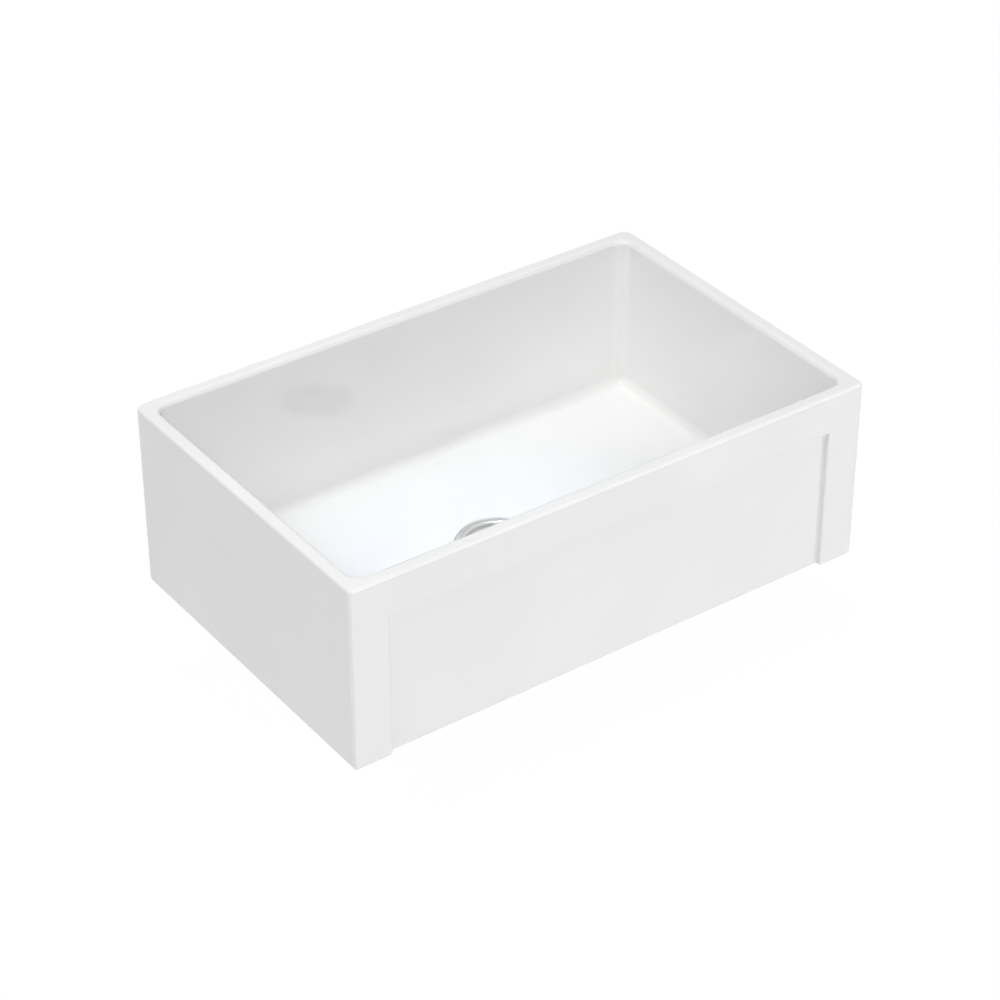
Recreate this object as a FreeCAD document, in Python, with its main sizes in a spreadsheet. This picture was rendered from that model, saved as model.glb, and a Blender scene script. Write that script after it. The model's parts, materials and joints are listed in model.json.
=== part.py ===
"""Farmhouse apron front kitchen sink with its basket strainer drain.

One glazed fireclay basin carries a complete 3 1/2 inch drain: flanged strainer body, sealing
rings, locknut with jam screws, outlet spud, tailpiece and a lift-out crumb basket whose stopper
slides on a guided stem.

Millimetres. +Z is up, -Y is the apron front, and the origin is the middle of the base plane.
"""

import FreeCAD, Part
import os
import re

import Sketcher

SIZES = {
    # basin, outside
    "basin_width": 762.0,  # left to right
    "basin_depth": 482.0,  # apron to back
    "basin_height": 259.0,
    "front_corner_radius": 8.0,  # upright outer corners beside the apron
    "back_corner_radius": 14.0,
    "base_edge_radius": 7.5,
    "rim_outer_radius": 3.5,
    # basin, inside
    "rim_width": 19.5,  # wall thickness at the rim
    "rim_inner_radius": 7.0,
    "wall_draft": 1.0,  # how far the back and side walls lean in at the floor
    "apron_backing": 9.0,  # extra front wall thickness at the floor, behind the panel
    "bowl_corner_radius": 18.0,
    "bowl_cove_radius": 14.0,  # where the walls run into the floor
    "floor_height": 36.5,  # floor beside the walls
    "floor_fall": 2.5,  # how much lower the floor is at the drain
    "level_margin": 8.0,  # level floor between the cove and the fall to the drain
    # apron: a rail over two stiles, with a panel set back between them
    "rail_height": 56.0,
    "stile_width": 53.0,
    "panel_recess": 7.0,
    "panel_edge_radius": 3.0,
    "panel_cove_radius": 2.5,
    # underside: a foot ring round a raised field
    "foot_width": 42.0,
    "foot_height": 12.0,
    "foot_corner_radius": 20.0,
    "foot_edge_bevel": 4.0,
    # drain opening
    "drain_setback": 4.0,  # the drain sits behind the middle, because the front wall is thicker
    "outlet_radius": 46.0,
    "seat_margin": 1.6,  # rebate beyond the flange
    "seat_depth": 3.0,
    "seat_edge_bevel": 1.2,
    # strainer body, drawn from sheet, heights from the flange's underside
    "putty_thickness": 1.5,
    "putty_clearance": 0.3,  # round the cone under the flange
    "flange_radius": 55.0,
    "flange_thickness": 1.6,
    "flange_edge": 0.9,
    "bead_radius": 48.4,
    "bead_half_width": 0.9,
    "bead_height": 0.5,
    "mouth_radius": 46.2,
    "ledge_radius": 43.2,
    "ledge_drop": 2.8,
    "sheet_thickness": 1.4,
    "cup_radius": 42.8,  # outside, over the thread
    "cup_wall": 1.4,
    "cup_depth": 56.0,
    "cup_corner_bevel": 5.0,
    # outlet spud, brazed through the cup's floor
    "spud_flange_radius": 27.0,
    "spud_flange_thickness": 2.0,
    "spud_radius": 23.5,
    "spud_bore_radius": 19.5,
    "spud_length": 20.0,  # below the cup
    "arm_width": 4.0,
    "arm_thickness": 4.0,
    "arm_drop": 6.0,  # below the spud's seat
    "arms_round": 4.0,
    "hub_radius": 7.0,
    "hub_bore_radius": 4.0,
    "braze_gap": 0.1,
    # clamping stack under the basin
    "ring_clearance": 0.4,
    "ring_radius": 56.0,
    "washer_thickness": 4.0,
    "pressure_ring_thickness": 2.0,
    "jam_gap": 6.0,  # between the pressure ring and the locknut
    "locknut_radius": 56.0,
    "locknut_height": 9.0,
    "locknut_edge": 1.2,
    "thread_clearance": 0.1,
    "lug_reach": 7.0,
    "lug_width": 16.0,
    "lug_corner_radius": 3.0,
    "jam_circle_radius": 49.5,
    "jam_screws_round": 4.0,  # as many lugs as screws
    "jam_screw_radius": 3.0,
    "jam_screw_end": 4.0,  # shank below the locknut
    "jam_head_radius": 5.5,
    "jam_head_height": 4.0,
    # tailpiece and its coupling nut
    "tail_washer_thickness": 2.0,
    "tail_washer_bore_radius": 19.2,
    "tail_flange_thickness": 1.6,
    "tail_flange_clearance": 0.3,
    "tail_neck_radius": 19.8,  # thickened just under the flange
    "tail_neck_length": 8.0,
    "tail_radius": 19.05,
    "tail_wall": 1.2,
    "tail_length": 101.6,
    "coupling_reach": 14.0,  # how far the nut screws up the spud
    "coupling_lip": 3.0,
    "coupling_lip_clearance": 0.35,
    "coupling_flat_radius": 27.5,  # centre to flat
    "coupling_edge": 2.0,
    # crumb basket, heights from its rim's underside
    "seat_gap": 0.3,  # every lift-out piece over its seat
    "basket_rim_clearance": 0.6,
    "basket_sheet": 0.8,
    "basket_wall_clearance": 1.2,
    "basket_floor_radius": 34.0,
    "basket_depth": 28.5,
    "basket_corner_bevel": 1.4,
    "wall_slot_width": 3.2,
    "wall_slot_height": 15.0,
    "wall_slot_drop": 6.0,  # solid wall above the slots
    "wall_slots_round": 24.0,
    "floor_slot_width": 3.6,
    "floor_slot_length": 13.0,
    "floor_slot_start": 15.5,  # from the axis
    "floor_slots_round": 10.0,
    # guide bush through the basket's floor
    "bush_radius": 7.0,
    "bush_boss_radius": 9.5,
    "bush_boss_height": 6.0,
    "bush_fit": 0.1,
    "bush_nut_flat_radius": 10.0,
    "bush_nut_height": 3.0,
    "groove_radius": 5.0,
    "groove_height": 2.2,
    "groove_rise": 2.0,  # groove above the basket's floor
    "grip_fit": 0.03,
    # stem with its knob and stopper
    "stem_radius": 3.0,
    "stem_fit": 0.05,
    "stem_thread_radius": 2.5,
    "knob_base_drop": 17.0,  # the knob's underside below the flange's underside
    "knob_height": 13.0,
    "knob_radius": 11.0,
    "knob_waist_radius": 5.5,
    "knob_cap_height": 6.0,
    "knob_soft_radius": 2.4,
    "knob_grip_bevel": 1.5,
    "knob_thread_depth": 8.0,
    "collar_radius": 5.0,
    "collar_height": 2.0,
    "stopper_travel": 9.0,
    "plate_radius": 20.0,
    "plate_thickness": 1.2,
    "seal_radius": 25.5,
    "seal_thickness": 4.0,
    "seal_taper": 1.2,
    "stopper_washer_radius": 12.0,
    "stopper_washer_thickness": 1.0,
    "stopper_nut_flat_radius": 4.5,
    "stopper_nut_height": 4.0,
    "pilot_length": 8.0,  # stem below the stopper washer
}

# Heights that several pieces share, as formulas on the sizes.
FLOOR_AT_DRAIN = "(floor_height - floor_fall)"
DRAIN_SEAT = f"({FLOOR_AT_DRAIN} - seat_depth)"
FLANGE_SEAT = f"({DRAIN_SEAT} + putty_thickness)"
RING_BORE = "(cup_radius + ring_clearance)"
PRESSURE_RING_TOP = "(foot_height - washer_thickness)"
JAM_TOP = f"({PRESSURE_RING_TOP} - pressure_ring_thickness)"
LOCKNUT_TOP = f"({JAM_TOP} - jam_gap)"
CUP_FLOOR = f"({FLANGE_SEAT} - cup_depth + cup_wall)"
STOPPER_SEAT = f"({CUP_FLOOR} + spud_flange_thickness)"
SPUD_END = f"({FLANGE_SEAT} - cup_depth - spud_length)"
TAIL_TOP = f"({SPUD_END} - tail_washer_thickness)"
TAIL_FLANGE_RADIUS = "(spud_radius - tail_flange_clearance)"
BASKET_SEAT = f"({FLANGE_SEAT} - ledge_drop + seat_gap)"
BASKET_UNDERSIDE = f"({BASKET_SEAT} - basket_depth)"
SEAL_BOTTOM = f"({STOPPER_SEAT} + seat_gap)"
SEAL_TOP = f"({SEAL_BOTTOM} + seal_thickness)"
PLATE_TOP = f"({SEAL_TOP} + plate_thickness)"
COLLAR_TOP = f"({PLATE_TOP} + collar_height)"
BUSH_END = f"({COLLAR_TOP} + stopper_travel + seat_gap)"
KNOB_BASE = f"({FLANGE_SEAT} - knob_base_drop)"
WASHER_BOTTOM = f"({SEAL_BOTTOM} - stopper_washer_thickness)"

DISH_RADIUS = (
    "(basin_depth / 2 - rim_width - wall_draft - bowl_cove_radius - drain_setback - level_margin)"
)

CUT_MARGIN = 5.0  # how far a cut starts outside the solid
TOUCH = 1e-4

document = FreeCAD.newDocument("apron_front_sink")
sheet = document.addObject("Spreadsheet::Sheet", "Sizes")


def fill_sheet():
    """Write each driving size to the sheet beside its name."""
    for row, (alias, size) in enumerate(SIZES.items(), start=1):
        sheet.set(f"A{row}", alias)
        sheet.set(f"B{row}", str(size))
        sheet.setAlias(f"B{row}", alias)
    document.recompute()


def bound(formula):
    """The formula with each size's name pointing at its cell."""
    names = re.compile(r"[a-z_]+")
    return names.sub(lambda word: point_at_cell(word.group()), str(formula))


def point_at_cell(word):
    return f"Sizes.{word}" if word in SIZES else word


def value(formula):
    return float(sheet.evalExpression(bound(formula)))


def new_body(name, height="0", setback="drain_setback"):
    """A body with its origin at a height over the base plane, on the drain's axis unless told."""
    body = document.addObject("PartDesign::Body", name)
    body.Label = name
    body.setExpression("Placement.Base.y", bound(setback))
    body.setExpression("Placement.Base.z", bound(height))
    return body


def new_sketch(body, name, plane, offset="0"):
    """A sketch on one of the body's own planes, moved along the plane's normal."""
    sketch = body.newObject("Sketcher::SketchObject", name)
    support = [item for item in body.Origin.OriginFeatures if item.Role == plane][0]
    sketch.AttachmentSupport = [(support, "")]
    sketch.MapMode = "FlatFace"
    sketch.setExpression("AttachmentOffset.Base.z", bound(offset))
    return sketch


def dimension(sketch, kind, line, formula):
    """Tie one coordinate of a line's start to a formula."""
    index = sketch.addConstraint(Sketcher.Constraint(kind, -1, 1, line, 1, value(formula)))
    sketch.setExpression(f"Constraints[{index}]", bound(formula))


def draw_outline(sketch, corners):
    """A closed outline of straight lines whose corners are (across, up) formulas."""
    points = [FreeCAD.Vector(value(across), value(up), 0) for across, up in corners]
    first = sketch.GeometryCount
    count = len(points)
    for index, start in enumerate(points):
        end = points[(index + 1) % count]
        sketch.addGeometry(Part.LineSegment(start, end), False)
    for index, (across, up) in enumerate(corners):
        following = first + (index + 1) % count
        sketch.addConstraint(Sketcher.Constraint("Coincident", first + index, 2, following, 1))
        dimension(sketch, "DistanceX", first + index, across)
        dimension(sketch, "DistanceY", first + index, up)


def draw_circle(sketch, across, up, radius):
    """A circle whose centre and radius are formulas."""
    centre = FreeCAD.Vector(value(across), value(up), 0)
    circle = Part.Circle(centre, FreeCAD.Vector(0, 0, 1), value(radius))
    line = sketch.addGeometry(circle, False)
    for kind, formula in (("DistanceX", across), ("DistanceY", up)):
        place = Sketcher.Constraint(kind, -1, 1, line, 3, value(formula))
        index = sketch.addConstraint(place)
        sketch.setExpression(f"Constraints[{index}]", bound(formula))
    index = sketch.addConstraint(Sketcher.Constraint("Radius", line, value(radius)))
    sketch.setExpression(f"Constraints[{index}]", bound(radius))


def box_corners(left, right, front, back):
    return [(left, front), (right, front), (right, back), (left, back)]


def hexagon_corners(flat_radius):
    """Corners of a hexagon from its centre-to-flat distance."""
    reach = f"({flat_radius}) * 2 / sqrt(3)"
    half = f"({flat_radius}) / sqrt(3)"
    return [
        (reach, "0"),
        (half, flat_radius),
        (f"-({half})", flat_radius),
        (f"-({reach})", "0"),
        (f"-({half})", f"-({flat_radius})"),
        (half, f"-({flat_radius})"),
    ]


def extrude(body, kind, sketch, length, reverse=False):
    """A pad or pocket of the sketch."""
    feature = body.newObject(f"PartDesign::{kind}", f"{sketch.Name}_{kind.lower()}")
    feature.Profile = sketch
    feature.Reversed = reverse
    feature.setExpression("Length", bound(length))
    check_cut(feature)
    return feature


def turn(body, kind, sketch):
    """A revolution or groove of the sketch about the body's upright axis."""
    feature = body.newObject(f"PartDesign::{kind}", f"{sketch.Name}_{kind.lower()}")
    feature.Profile = sketch
    feature.ReferenceAxis = (sketch, ["V_Axis"])
    feature.Angle = 360.0
    check_cut(feature)
    return feature


def check_cut(feature):
    """Stop if a pocket or groove took nothing away, as one that points outwards would."""
    document.recompute()
    if feature.TypeId in ("PartDesign::Pocket", "PartDesign::Groove"):
        if feature.Shape.Volume > feature.BaseFeature.Shape.Volume - TOUCH:
            raise RuntimeError(f"{feature.Name} cuts nothing")


def turned_body(name, height, corners):
    """A body turned about the drain's axis from its half outline of (radius, height)."""
    body = new_body(name, height)
    outline = new_sketch(body, f"{name}_outline", "XZ_Plane")
    draw_outline(outline, corners)
    turn(body, "Revolution", outline)
    return body


def soften(body, kind, name, size, chosen):
    """Fillet or chamfer the edges of the body's tip that the test chooses."""
    base = body.Tip
    edges = [f"Edge{i}" for i, edge in enumerate(base.Shape.Edges, start=1) if chosen(edge)]
    feature = body.newObject(f"PartDesign::{kind}", name)
    feature.Base = (base, edges)
    feature.setExpression("Radius" if kind == "Fillet" else "Size", bound(size))
    document.recompute()
    if not edges:
        raise RuntimeError(f"{name} found no edge")
    return feature


def lean(body, name, offset, chosen):
    """Lean walls into the bowl about the rim, by an offset reached at the floor."""
    base = body.Tip
    faces = list(enumerate(base.Shape.Faces, start=1))
    walls = [f"Face{i}" for i, face in faces if chosen(face)]
    rim_height = value("basin_height")
    rim = [f"Face{i}" for i, face in faces if near(face.BoundBox.ZMin, rim_height)]
    feature = body.newObject("PartDesign::Draft", name)
    feature.Base = (base, walls)
    feature.NeutralPlane = (base, rim)
    slope = bound(f"atan(({offset}) / (basin_height - floor_height))")
    feature.setExpression("Angle", slope)
    document.recompute()
    return feature


def repeat(body, originals, name, count):
    """Copies of features round the body's upright axis."""
    pattern = body.newObject("PartDesign::PolarPattern", name)
    pattern.Originals = originals
    axis = [item for item in body.Origin.OriginFeatures if item.Role == "Z_Axis"][0]
    pattern.Axis = (axis, [""])
    pattern.Angle = 360.0
    pattern.setExpression("Occurrences", bound(count))
    body.Tip = pattern
    document.recompute()
    return pattern


def near(first, second):
    return abs(first - second) < TOUCH


def is_level(edge, height):
    return near(edge.BoundBox.ZMin, height) and near(edge.BoundBox.ZMax, height)


def is_ring(edge, radius, height):
    """Whether an edge is a whole level circle of this radius and height in its body."""
    box = edge.BoundBox
    round_it = near(box.XLength, 2 * value(radius)) and near(box.YLength, 2 * value(radius))
    return round_it and edge.isClosed() and is_level(edge, value(height))


def is_flat_in_y(edge, place):
    return near(edge.BoundBox.YMin, place) and near(edge.BoundBox.YMax, place)


def basin_block(basin):
    """The outer block with its recessed apron panel and rounded base."""
    half_width = "basin_width / 2"
    half_depth = "basin_depth / 2"
    plan = new_sketch(basin, "basin_plan", "XY_Plane")
    draw_outline(
        plan, box_corners(f"-{half_width}", half_width, f"-{half_depth}", half_depth)
    )
    extrude(basin, "Pad", plan, "basin_height")

    def upright(edge, at_front):
        tall = near(edge.BoundBox.ZLength, value("basin_height"))
        return tall and (edge.BoundBox.YMin < 0) == at_front

    for side, at_front in (("front", True), ("back", False)):
        soften(
            basin,
            "Fillet",
            f"{side}_corners",
            f"{side}_corner_radius",
            lambda edge, at_front=at_front: upright(edge, at_front),
        )
    panel_side = "(basin_width / 2 - stile_width)"
    panel = new_sketch(basin, "panel_outline", "XZ_Plane", "basin_depth / 2")
    draw_outline(
        panel,
        box_corners(
            f"-{panel_side}", panel_side, f"-{CUT_MARGIN}", "basin_height - rail_height"
        ),
    )
    extrude(basin, "Pocket", panel, "panel_recess")
    soften(
        basin, "Fillet", "base_edges", "base_edge_radius", lambda edge: is_level(edge, 0.0)
    )
    front = -value("basin_depth / 2")
    rail_underside = value("basin_height - rail_height")

    def frames_panel(edge, depth):
        """A stile's upright edge or the rail's lower edge, at this depth."""
        level = is_level(edge, rail_underside)
        tall = edge.BoundBox.ZLength > rail_underside / 2 and edge.BoundBox.XLength < TOUCH
        inside = abs(edge.BoundBox.Center.x) < value(panel_side) + TOUCH
        return is_flat_in_y(edge, depth) and inside and (level or tall)

    soften(
        basin,
        "Fillet",
        "panel_edges",
        "panel_edge_radius",
        lambda edge: frames_panel(edge, front),
    )
    recessed = front + value("panel_recess")
    soften(
        basin,
        "Fillet",
        "panel_coves",
        "panel_cove_radius",
        lambda edge: frames_panel(edge, recessed),
    )


def basin_bowl(basin):
    """The bowl: walls that lean in a little, coved into the floor, with a soft rim."""
    rim_side = "(basin_width / 2 - rim_width)"
    rim_front = "(rim_width - basin_depth / 2)"
    rim_back = "(basin_depth / 2 - rim_width)"
    mouth = new_sketch(basin, "bowl_mouth", "XY_Plane", "basin_height")
    draw_outline(mouth, box_corners(f"-{rim_side}", rim_side, rim_front, rim_back))
    extrude(basin, "Pocket", mouth, "basin_height - floor_height")
    front_wall = value(rim_front)

    def bowl_wall(face, at_front):
        box = face.BoundBox
        deep = near(box.ZMin, value("floor_height")) and near(box.ZMax, value("basin_height"))
        front = near(box.YMin, front_wall) and near(box.YMax, front_wall)
        return deep and front == at_front

    lean(basin, "plain_walls", "wall_draft", lambda face: bowl_wall(face, False))
    lean(basin, "apron_wall", "apron_backing", lambda face: bowl_wall(face, True))
    floor_height = value("floor_height")
    rim_height = value("basin_height")
    inside = value(rim_side) + TOUCH

    def bowl_corner(edge):
        box = edge.BoundBox
        deep = near(box.ZMin, floor_height) and near(box.ZMax, rim_height)
        return deep and abs(box.Center.x) < inside

    soften(basin, "Fillet", "bowl_corners", "bowl_corner_radius", bowl_corner)
    soften(
        basin,
        "Fillet",
        "bowl_cove",
        "bowl_cove_radius",
        lambda edge: is_level(edge, floor_height),
    )

    def at_rim(edge, outer):
        box = edge.BoundBox
        reach = max(abs(box.XMin), abs(box.XMax)) > value(rim_side) + TOUCH
        far = max(abs(box.YMin), abs(box.YMax)) > value(rim_back) + TOUCH
        return is_level(edge, rim_height) and (reach or far) == outer

    soften(basin, "Fillet", "rim_inside", "rim_inner_radius", lambda edge: at_rim(edge, False))
    soften(basin, "Fillet", "rim_outside", "rim_outer_radius", lambda edge: at_rim(edge, True))


def basin_underside(basin):
    """A raised field inside the foot ring, so that the floor is thin enough for the drain."""
    side = "(basin_width / 2 - foot_width)"
    front = "(foot_width + panel_recess - basin_depth / 2)"
    back = "(basin_depth / 2 - foot_width)"
    field = new_sketch(basin, "underside_field", "XY_Plane")
    draw_outline(field, box_corners(f"-{side}", side, front, back))
    extrude(basin, "Pocket", field, "foot_height", reverse=True)

    def field_corner(edge):
        return (
            near(edge.BoundBox.ZMin, 0.0)
            and near(edge.BoundBox.ZMax, value("foot_height"))
            and edge.BoundBox.XLength < TOUCH
        )

    soften(basin, "Fillet", "field_corners", "foot_corner_radius", field_corner)

    def field_edge(edge):
        box = edge.BoundBox
        inside = max(abs(box.XMin), abs(box.XMax)) < value(side) + TOUCH
        within = max(abs(box.YMin), abs(box.YMax)) < value(back) + TOUCH
        return is_level(edge, 0.0) and inside and within

    soften(basin, "Chamfer", "foot_edges", "foot_edge_bevel", field_edge)


def basin_outlet(basin):
    """The floor's fall to the drain, the flange's rebate and the outlet hole."""
    outlet = new_sketch(basin, "outlet_outline", "XZ_Plane", "-drain_setback")
    seat_radius = "(flange_radius + seat_margin)"
    draw_outline(
        outlet,
        [
            ("0", f"-{CUT_MARGIN}"),
            ("outlet_radius", f"-{CUT_MARGIN}"),
            ("outlet_radius", DRAIN_SEAT),
            (seat_radius, DRAIN_SEAT),
            (seat_radius, FLOOR_AT_DRAIN),
            (DISH_RADIUS, "floor_height"),
            (DISH_RADIUS, f"floor_height + {CUT_MARGIN}"),
            ("0", f"floor_height + {CUT_MARGIN}"),
        ],
    )
    turn(basin, "Groove", outlet)
    soften(
        basin,
        "Chamfer",
        "seat_edge",
        "seat_edge_bevel",
        lambda edge: is_ring(edge, seat_radius, FLOOR_AT_DRAIN),
    )


def make_basin():
    basin = new_body("basin", setback="0")
    basin_block(basin)
    basin_bowl(basin)
    basin_underside(basin)
    basin_outlet(basin)
    return basin


def make_putty_ring():
    """Sealing ring squeezed between the flange and the fireclay."""
    return turned_body(
        "putty_ring",
        DRAIN_SEAT,
        box_corners(
            "mouth_radius + putty_clearance", "flange_radius", "0", "putty_thickness"
        ),
    )


def make_strainer_body():
    """Flange with a fine bead, cone, basket ledge and deep threaded cup, drawn from one sheet."""
    cup_inside = "(cup_radius - cup_wall)"
    body = turned_body(
        "strainer_body",
        FLANGE_SEAT,
        [
            ("flange_radius", "0"),
            ("flange_radius", "flange_thickness"),
            ("bead_radius + bead_half_width", "flange_thickness"),
            ("bead_radius", "flange_thickness + bead_height"),
            ("bead_radius - bead_half_width", "flange_thickness"),
            ("mouth_radius", "flange_thickness"),
            ("ledge_radius", "-ledge_drop"),
            (cup_inside, "-ledge_drop"),
            (cup_inside, "cup_wall - cup_depth"),
            ("spud_radius + braze_gap", "cup_wall - cup_depth"),
            ("spud_radius + braze_gap", "-cup_depth"),
            ("cup_radius", "-cup_depth"),
            ("cup_radius", "-ledge_drop - sheet_thickness"),
            ("ledge_radius + sheet_thickness", "-ledge_drop - sheet_thickness"),
            ("mouth_radius", "0"),
        ],
    )
    soften(
        body,
        "Chamfer",
        "flange_bevel",
        "flange_edge",
        lambda edge: is_ring(edge, "flange_radius", "flange_thickness"),
    )
    soften(
        body,
        "Chamfer",
        "cup_corner",
        "cup_corner_bevel",
        lambda edge: is_ring(edge, "cup_radius", "-cup_depth"),
    )
    soften(
        body,
        "Chamfer",
        "cup_inner_corner",
        "cup_corner_bevel - cup_wall / 2",
        lambda edge: is_ring(edge, cup_inside, "cup_wall - cup_depth"),
    )
    return body


def make_outlet_spud():
    """Turned outlet with the stopper's seat on top and a four-armed hub across its bore."""
    body = turned_body(
        "outlet_spud",
        CUP_FLOOR,
        [
            ("spud_bore_radius", "spud_flange_thickness"),
            ("spud_flange_radius", "spud_flange_thickness"),
            ("spud_flange_radius", "0"),
            ("spud_radius", "0"),
            ("spud_radius", "-cup_wall - spud_length"),
            ("spud_bore_radius", "-cup_wall - spud_length"),
        ],
    )
    top = "(spud_flange_thickness - arm_drop)"
    hub = new_sketch(body, "hub_plan", "XY_Plane", top)
    draw_circle(hub, "0", "0", "hub_radius")
    arm = new_sketch(body, "arm_plan", "XY_Plane", top)
    draw_outline(
        arm,
        box_corners(
            "0", "(spud_bore_radius + spud_radius) / 2", "-arm_width / 2", "arm_width / 2"
        ),
    )
    arm_pad = extrude(body, "Pad", arm, "arm_thickness", reverse=True)
    repeat(body, [arm_pad], "arms", "arms_round")
    extrude(body, "Pad", hub, "arm_thickness", reverse=True)
    bore = new_sketch(body, "hub_bore_plan", "XY_Plane", top)
    draw_circle(bore, "0", "0", "hub_bore_radius")
    extrude(body, "Pocket", bore, "arm_thickness")
    return body


def make_sink_washer():
    """Rubber washer that seals the outlet from below."""
    return turned_body(
        "sink_washer",
        PRESSURE_RING_TOP,
        box_corners(RING_BORE, "ring_radius", "0", "washer_thickness"),
    )


def make_pressure_ring():
    """Steel ring that spreads the jam screws' load over the washer."""
    return turned_body(
        "pressure_ring",
        JAM_TOP,
        box_corners(RING_BORE, "ring_radius", "0", "pressure_ring_thickness"),
    )


def make_locknut():
    """Ring nut on the cup's thread, with four lugs and four holes for jam screws."""
    bore = "(cup_radius + thread_clearance)"
    body = turned_body(
        "locknut", LOCKNUT_TOP, box_corners(bore, "locknut_radius", "-locknut_height", "0")
    )
    soften(
        body,
        "Chamfer",
        "locknut_edges",
        "locknut_edge",
        lambda edge: is_ring(edge, "locknut_radius", "0")
        or is_ring(edge, "locknut_radius", "-locknut_height"),
    )
    lug = new_sketch(body, "lug_plan", "XY_Plane")
    draw_outline(
        lug,
        box_corners(
            "jam_circle_radius",
            "locknut_radius + lug_reach",
            "-lug_width / 2",
            "lug_width / 2",
        ),
    )
    lug_pad = extrude(body, "Pad", lug, "locknut_height", reverse=True)
    tip = value("locknut_radius + lug_reach")

    def lug_corner(edge):
        return near(edge.BoundBox.XMin, tip) and edge.BoundBox.YLength < TOUCH

    rounding = soften(body, "Fillet", "lug_corners", "lug_corner_radius", lug_corner)
    hole = new_sketch(body, "jam_hole_plan", "XY_Plane")
    draw_circle(hole, "jam_circle_radius", "0", "jam_screw_radius + thread_clearance")
    hole_pocket = extrude(body, "Pocket", hole, "locknut_height")
    repeat(body, [lug_pad, rounding, hole_pocket], "lugs", "jam_screws_round")
    return body


def make_jam_screws():
    """Four screws through the locknut, jammed up against the pressure ring."""
    body = new_body("jam_screws", JAM_TOP)
    shank_length = "(jam_gap + locknut_height + jam_screw_end)"
    shank = new_sketch(body, "jam_shank_plan", "XY_Plane")
    draw_circle(shank, "jam_circle_radius", "0", "jam_screw_radius")
    shank_pad = extrude(body, "Pad", shank, shank_length, reverse=True)
    head = new_sketch(body, "jam_head_plan", "XY_Plane", f"-{shank_length}")
    corners = hexagon_corners("jam_head_radius")
    draw_outline(head, [(f"jam_circle_radius + {across}", up) for across, up in corners])
    head_pad = extrude(body, "Pad", head, "jam_head_height", reverse=True)
    repeat(body, [shank_pad, head_pad], "jam_screw_ring", "jam_screws_round")
    return body


def make_tailpiece_washer():
    """Flat washer between the spud's end and the tailpiece's flange."""
    return turned_body(
        "tailpiece_washer",
        TAIL_TOP,
        box_corners(
            "tail_washer_bore_radius", TAIL_FLANGE_RADIUS, "0", "tail_washer_thickness"
        ),
    )


def make_tailpiece():
    """Flanged 1 1/2 inch tube down to the trap."""
    inside = "(tail_radius - tail_wall)"
    return turned_body(
        "tailpiece",
        TAIL_TOP,
        [
            (inside, "0"),
            (TAIL_FLANGE_RADIUS, "0"),
            (TAIL_FLANGE_RADIUS, "-tail_flange_thickness"),
            ("tail_neck_radius", "-tail_flange_thickness"),
            ("tail_neck_radius", "-tail_flange_thickness - tail_neck_length"),
            ("tail_radius", "-tail_flange_thickness - tail_neck_length"),
            ("tail_radius", "-tail_length"),
            (inside, "-tail_length"),
        ],
    )


def nut_crown(body, name, flat_radius, low, high, edge):
    """Turn the corners of a hexagon away at its two ends."""
    reach = f"({flat_radius}) * 2 / sqrt(3)"
    crown = new_sketch(body, name, "XZ_Plane")
    outer = f"{reach} + {CUT_MARGIN}"
    for end, side in ((high, 1), (low, -1)):
        away = f"({end}) + ({side * CUT_MARGIN})"
        inner = f"{reach} - ({edge})"
        draw_outline(
            crown,
            [
                (inner, away),
                (inner, end),
                (outer, f"({end}) - ({side}) * ({edge} + {CUT_MARGIN}) / 2"),
                (outer, away),
            ],
        )
    turn(body, "Groove", crown)


def make_coupling_nut():
    """Hexagon nut that draws the tailpiece's flange up to the spud."""
    body = new_body("coupling_nut", SPUD_END)
    lip_top = "(tail_flange_thickness + tail_washer_thickness + thread_clearance)"
    height = f"(coupling_reach + {lip_top} + coupling_lip)"
    plan = new_sketch(body, "coupling_plan", "XY_Plane", "coupling_reach")
    draw_outline(plan, hexagon_corners("coupling_flat_radius"))
    extrude(body, "Pad", plan, height, reverse=True)
    bore = new_sketch(body, "coupling_bore", "XZ_Plane")
    thread = "(spud_radius + thread_clearance)"
    mouth = "(tail_neck_radius + coupling_lip_clearance)"
    draw_outline(
        bore,
        [
            ("0", f"coupling_reach + {CUT_MARGIN}"),
            (thread, f"coupling_reach + {CUT_MARGIN}"),
            (thread, f"-{lip_top}"),
            (mouth, f"-{lip_top}"),
            (mouth, f"-{lip_top} - coupling_lip - {CUT_MARGIN}"),
            ("0", f"-{lip_top} - coupling_lip - {CUT_MARGIN}"),
        ],
    )
    turn(body, "Groove", bore)
    nut_crown(
        body,
        "coupling_crown",
        "coupling_flat_radius",
        f"-{lip_top} - coupling_lip",
        "coupling_reach",
        "coupling_edge",
    )
    return body


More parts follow.
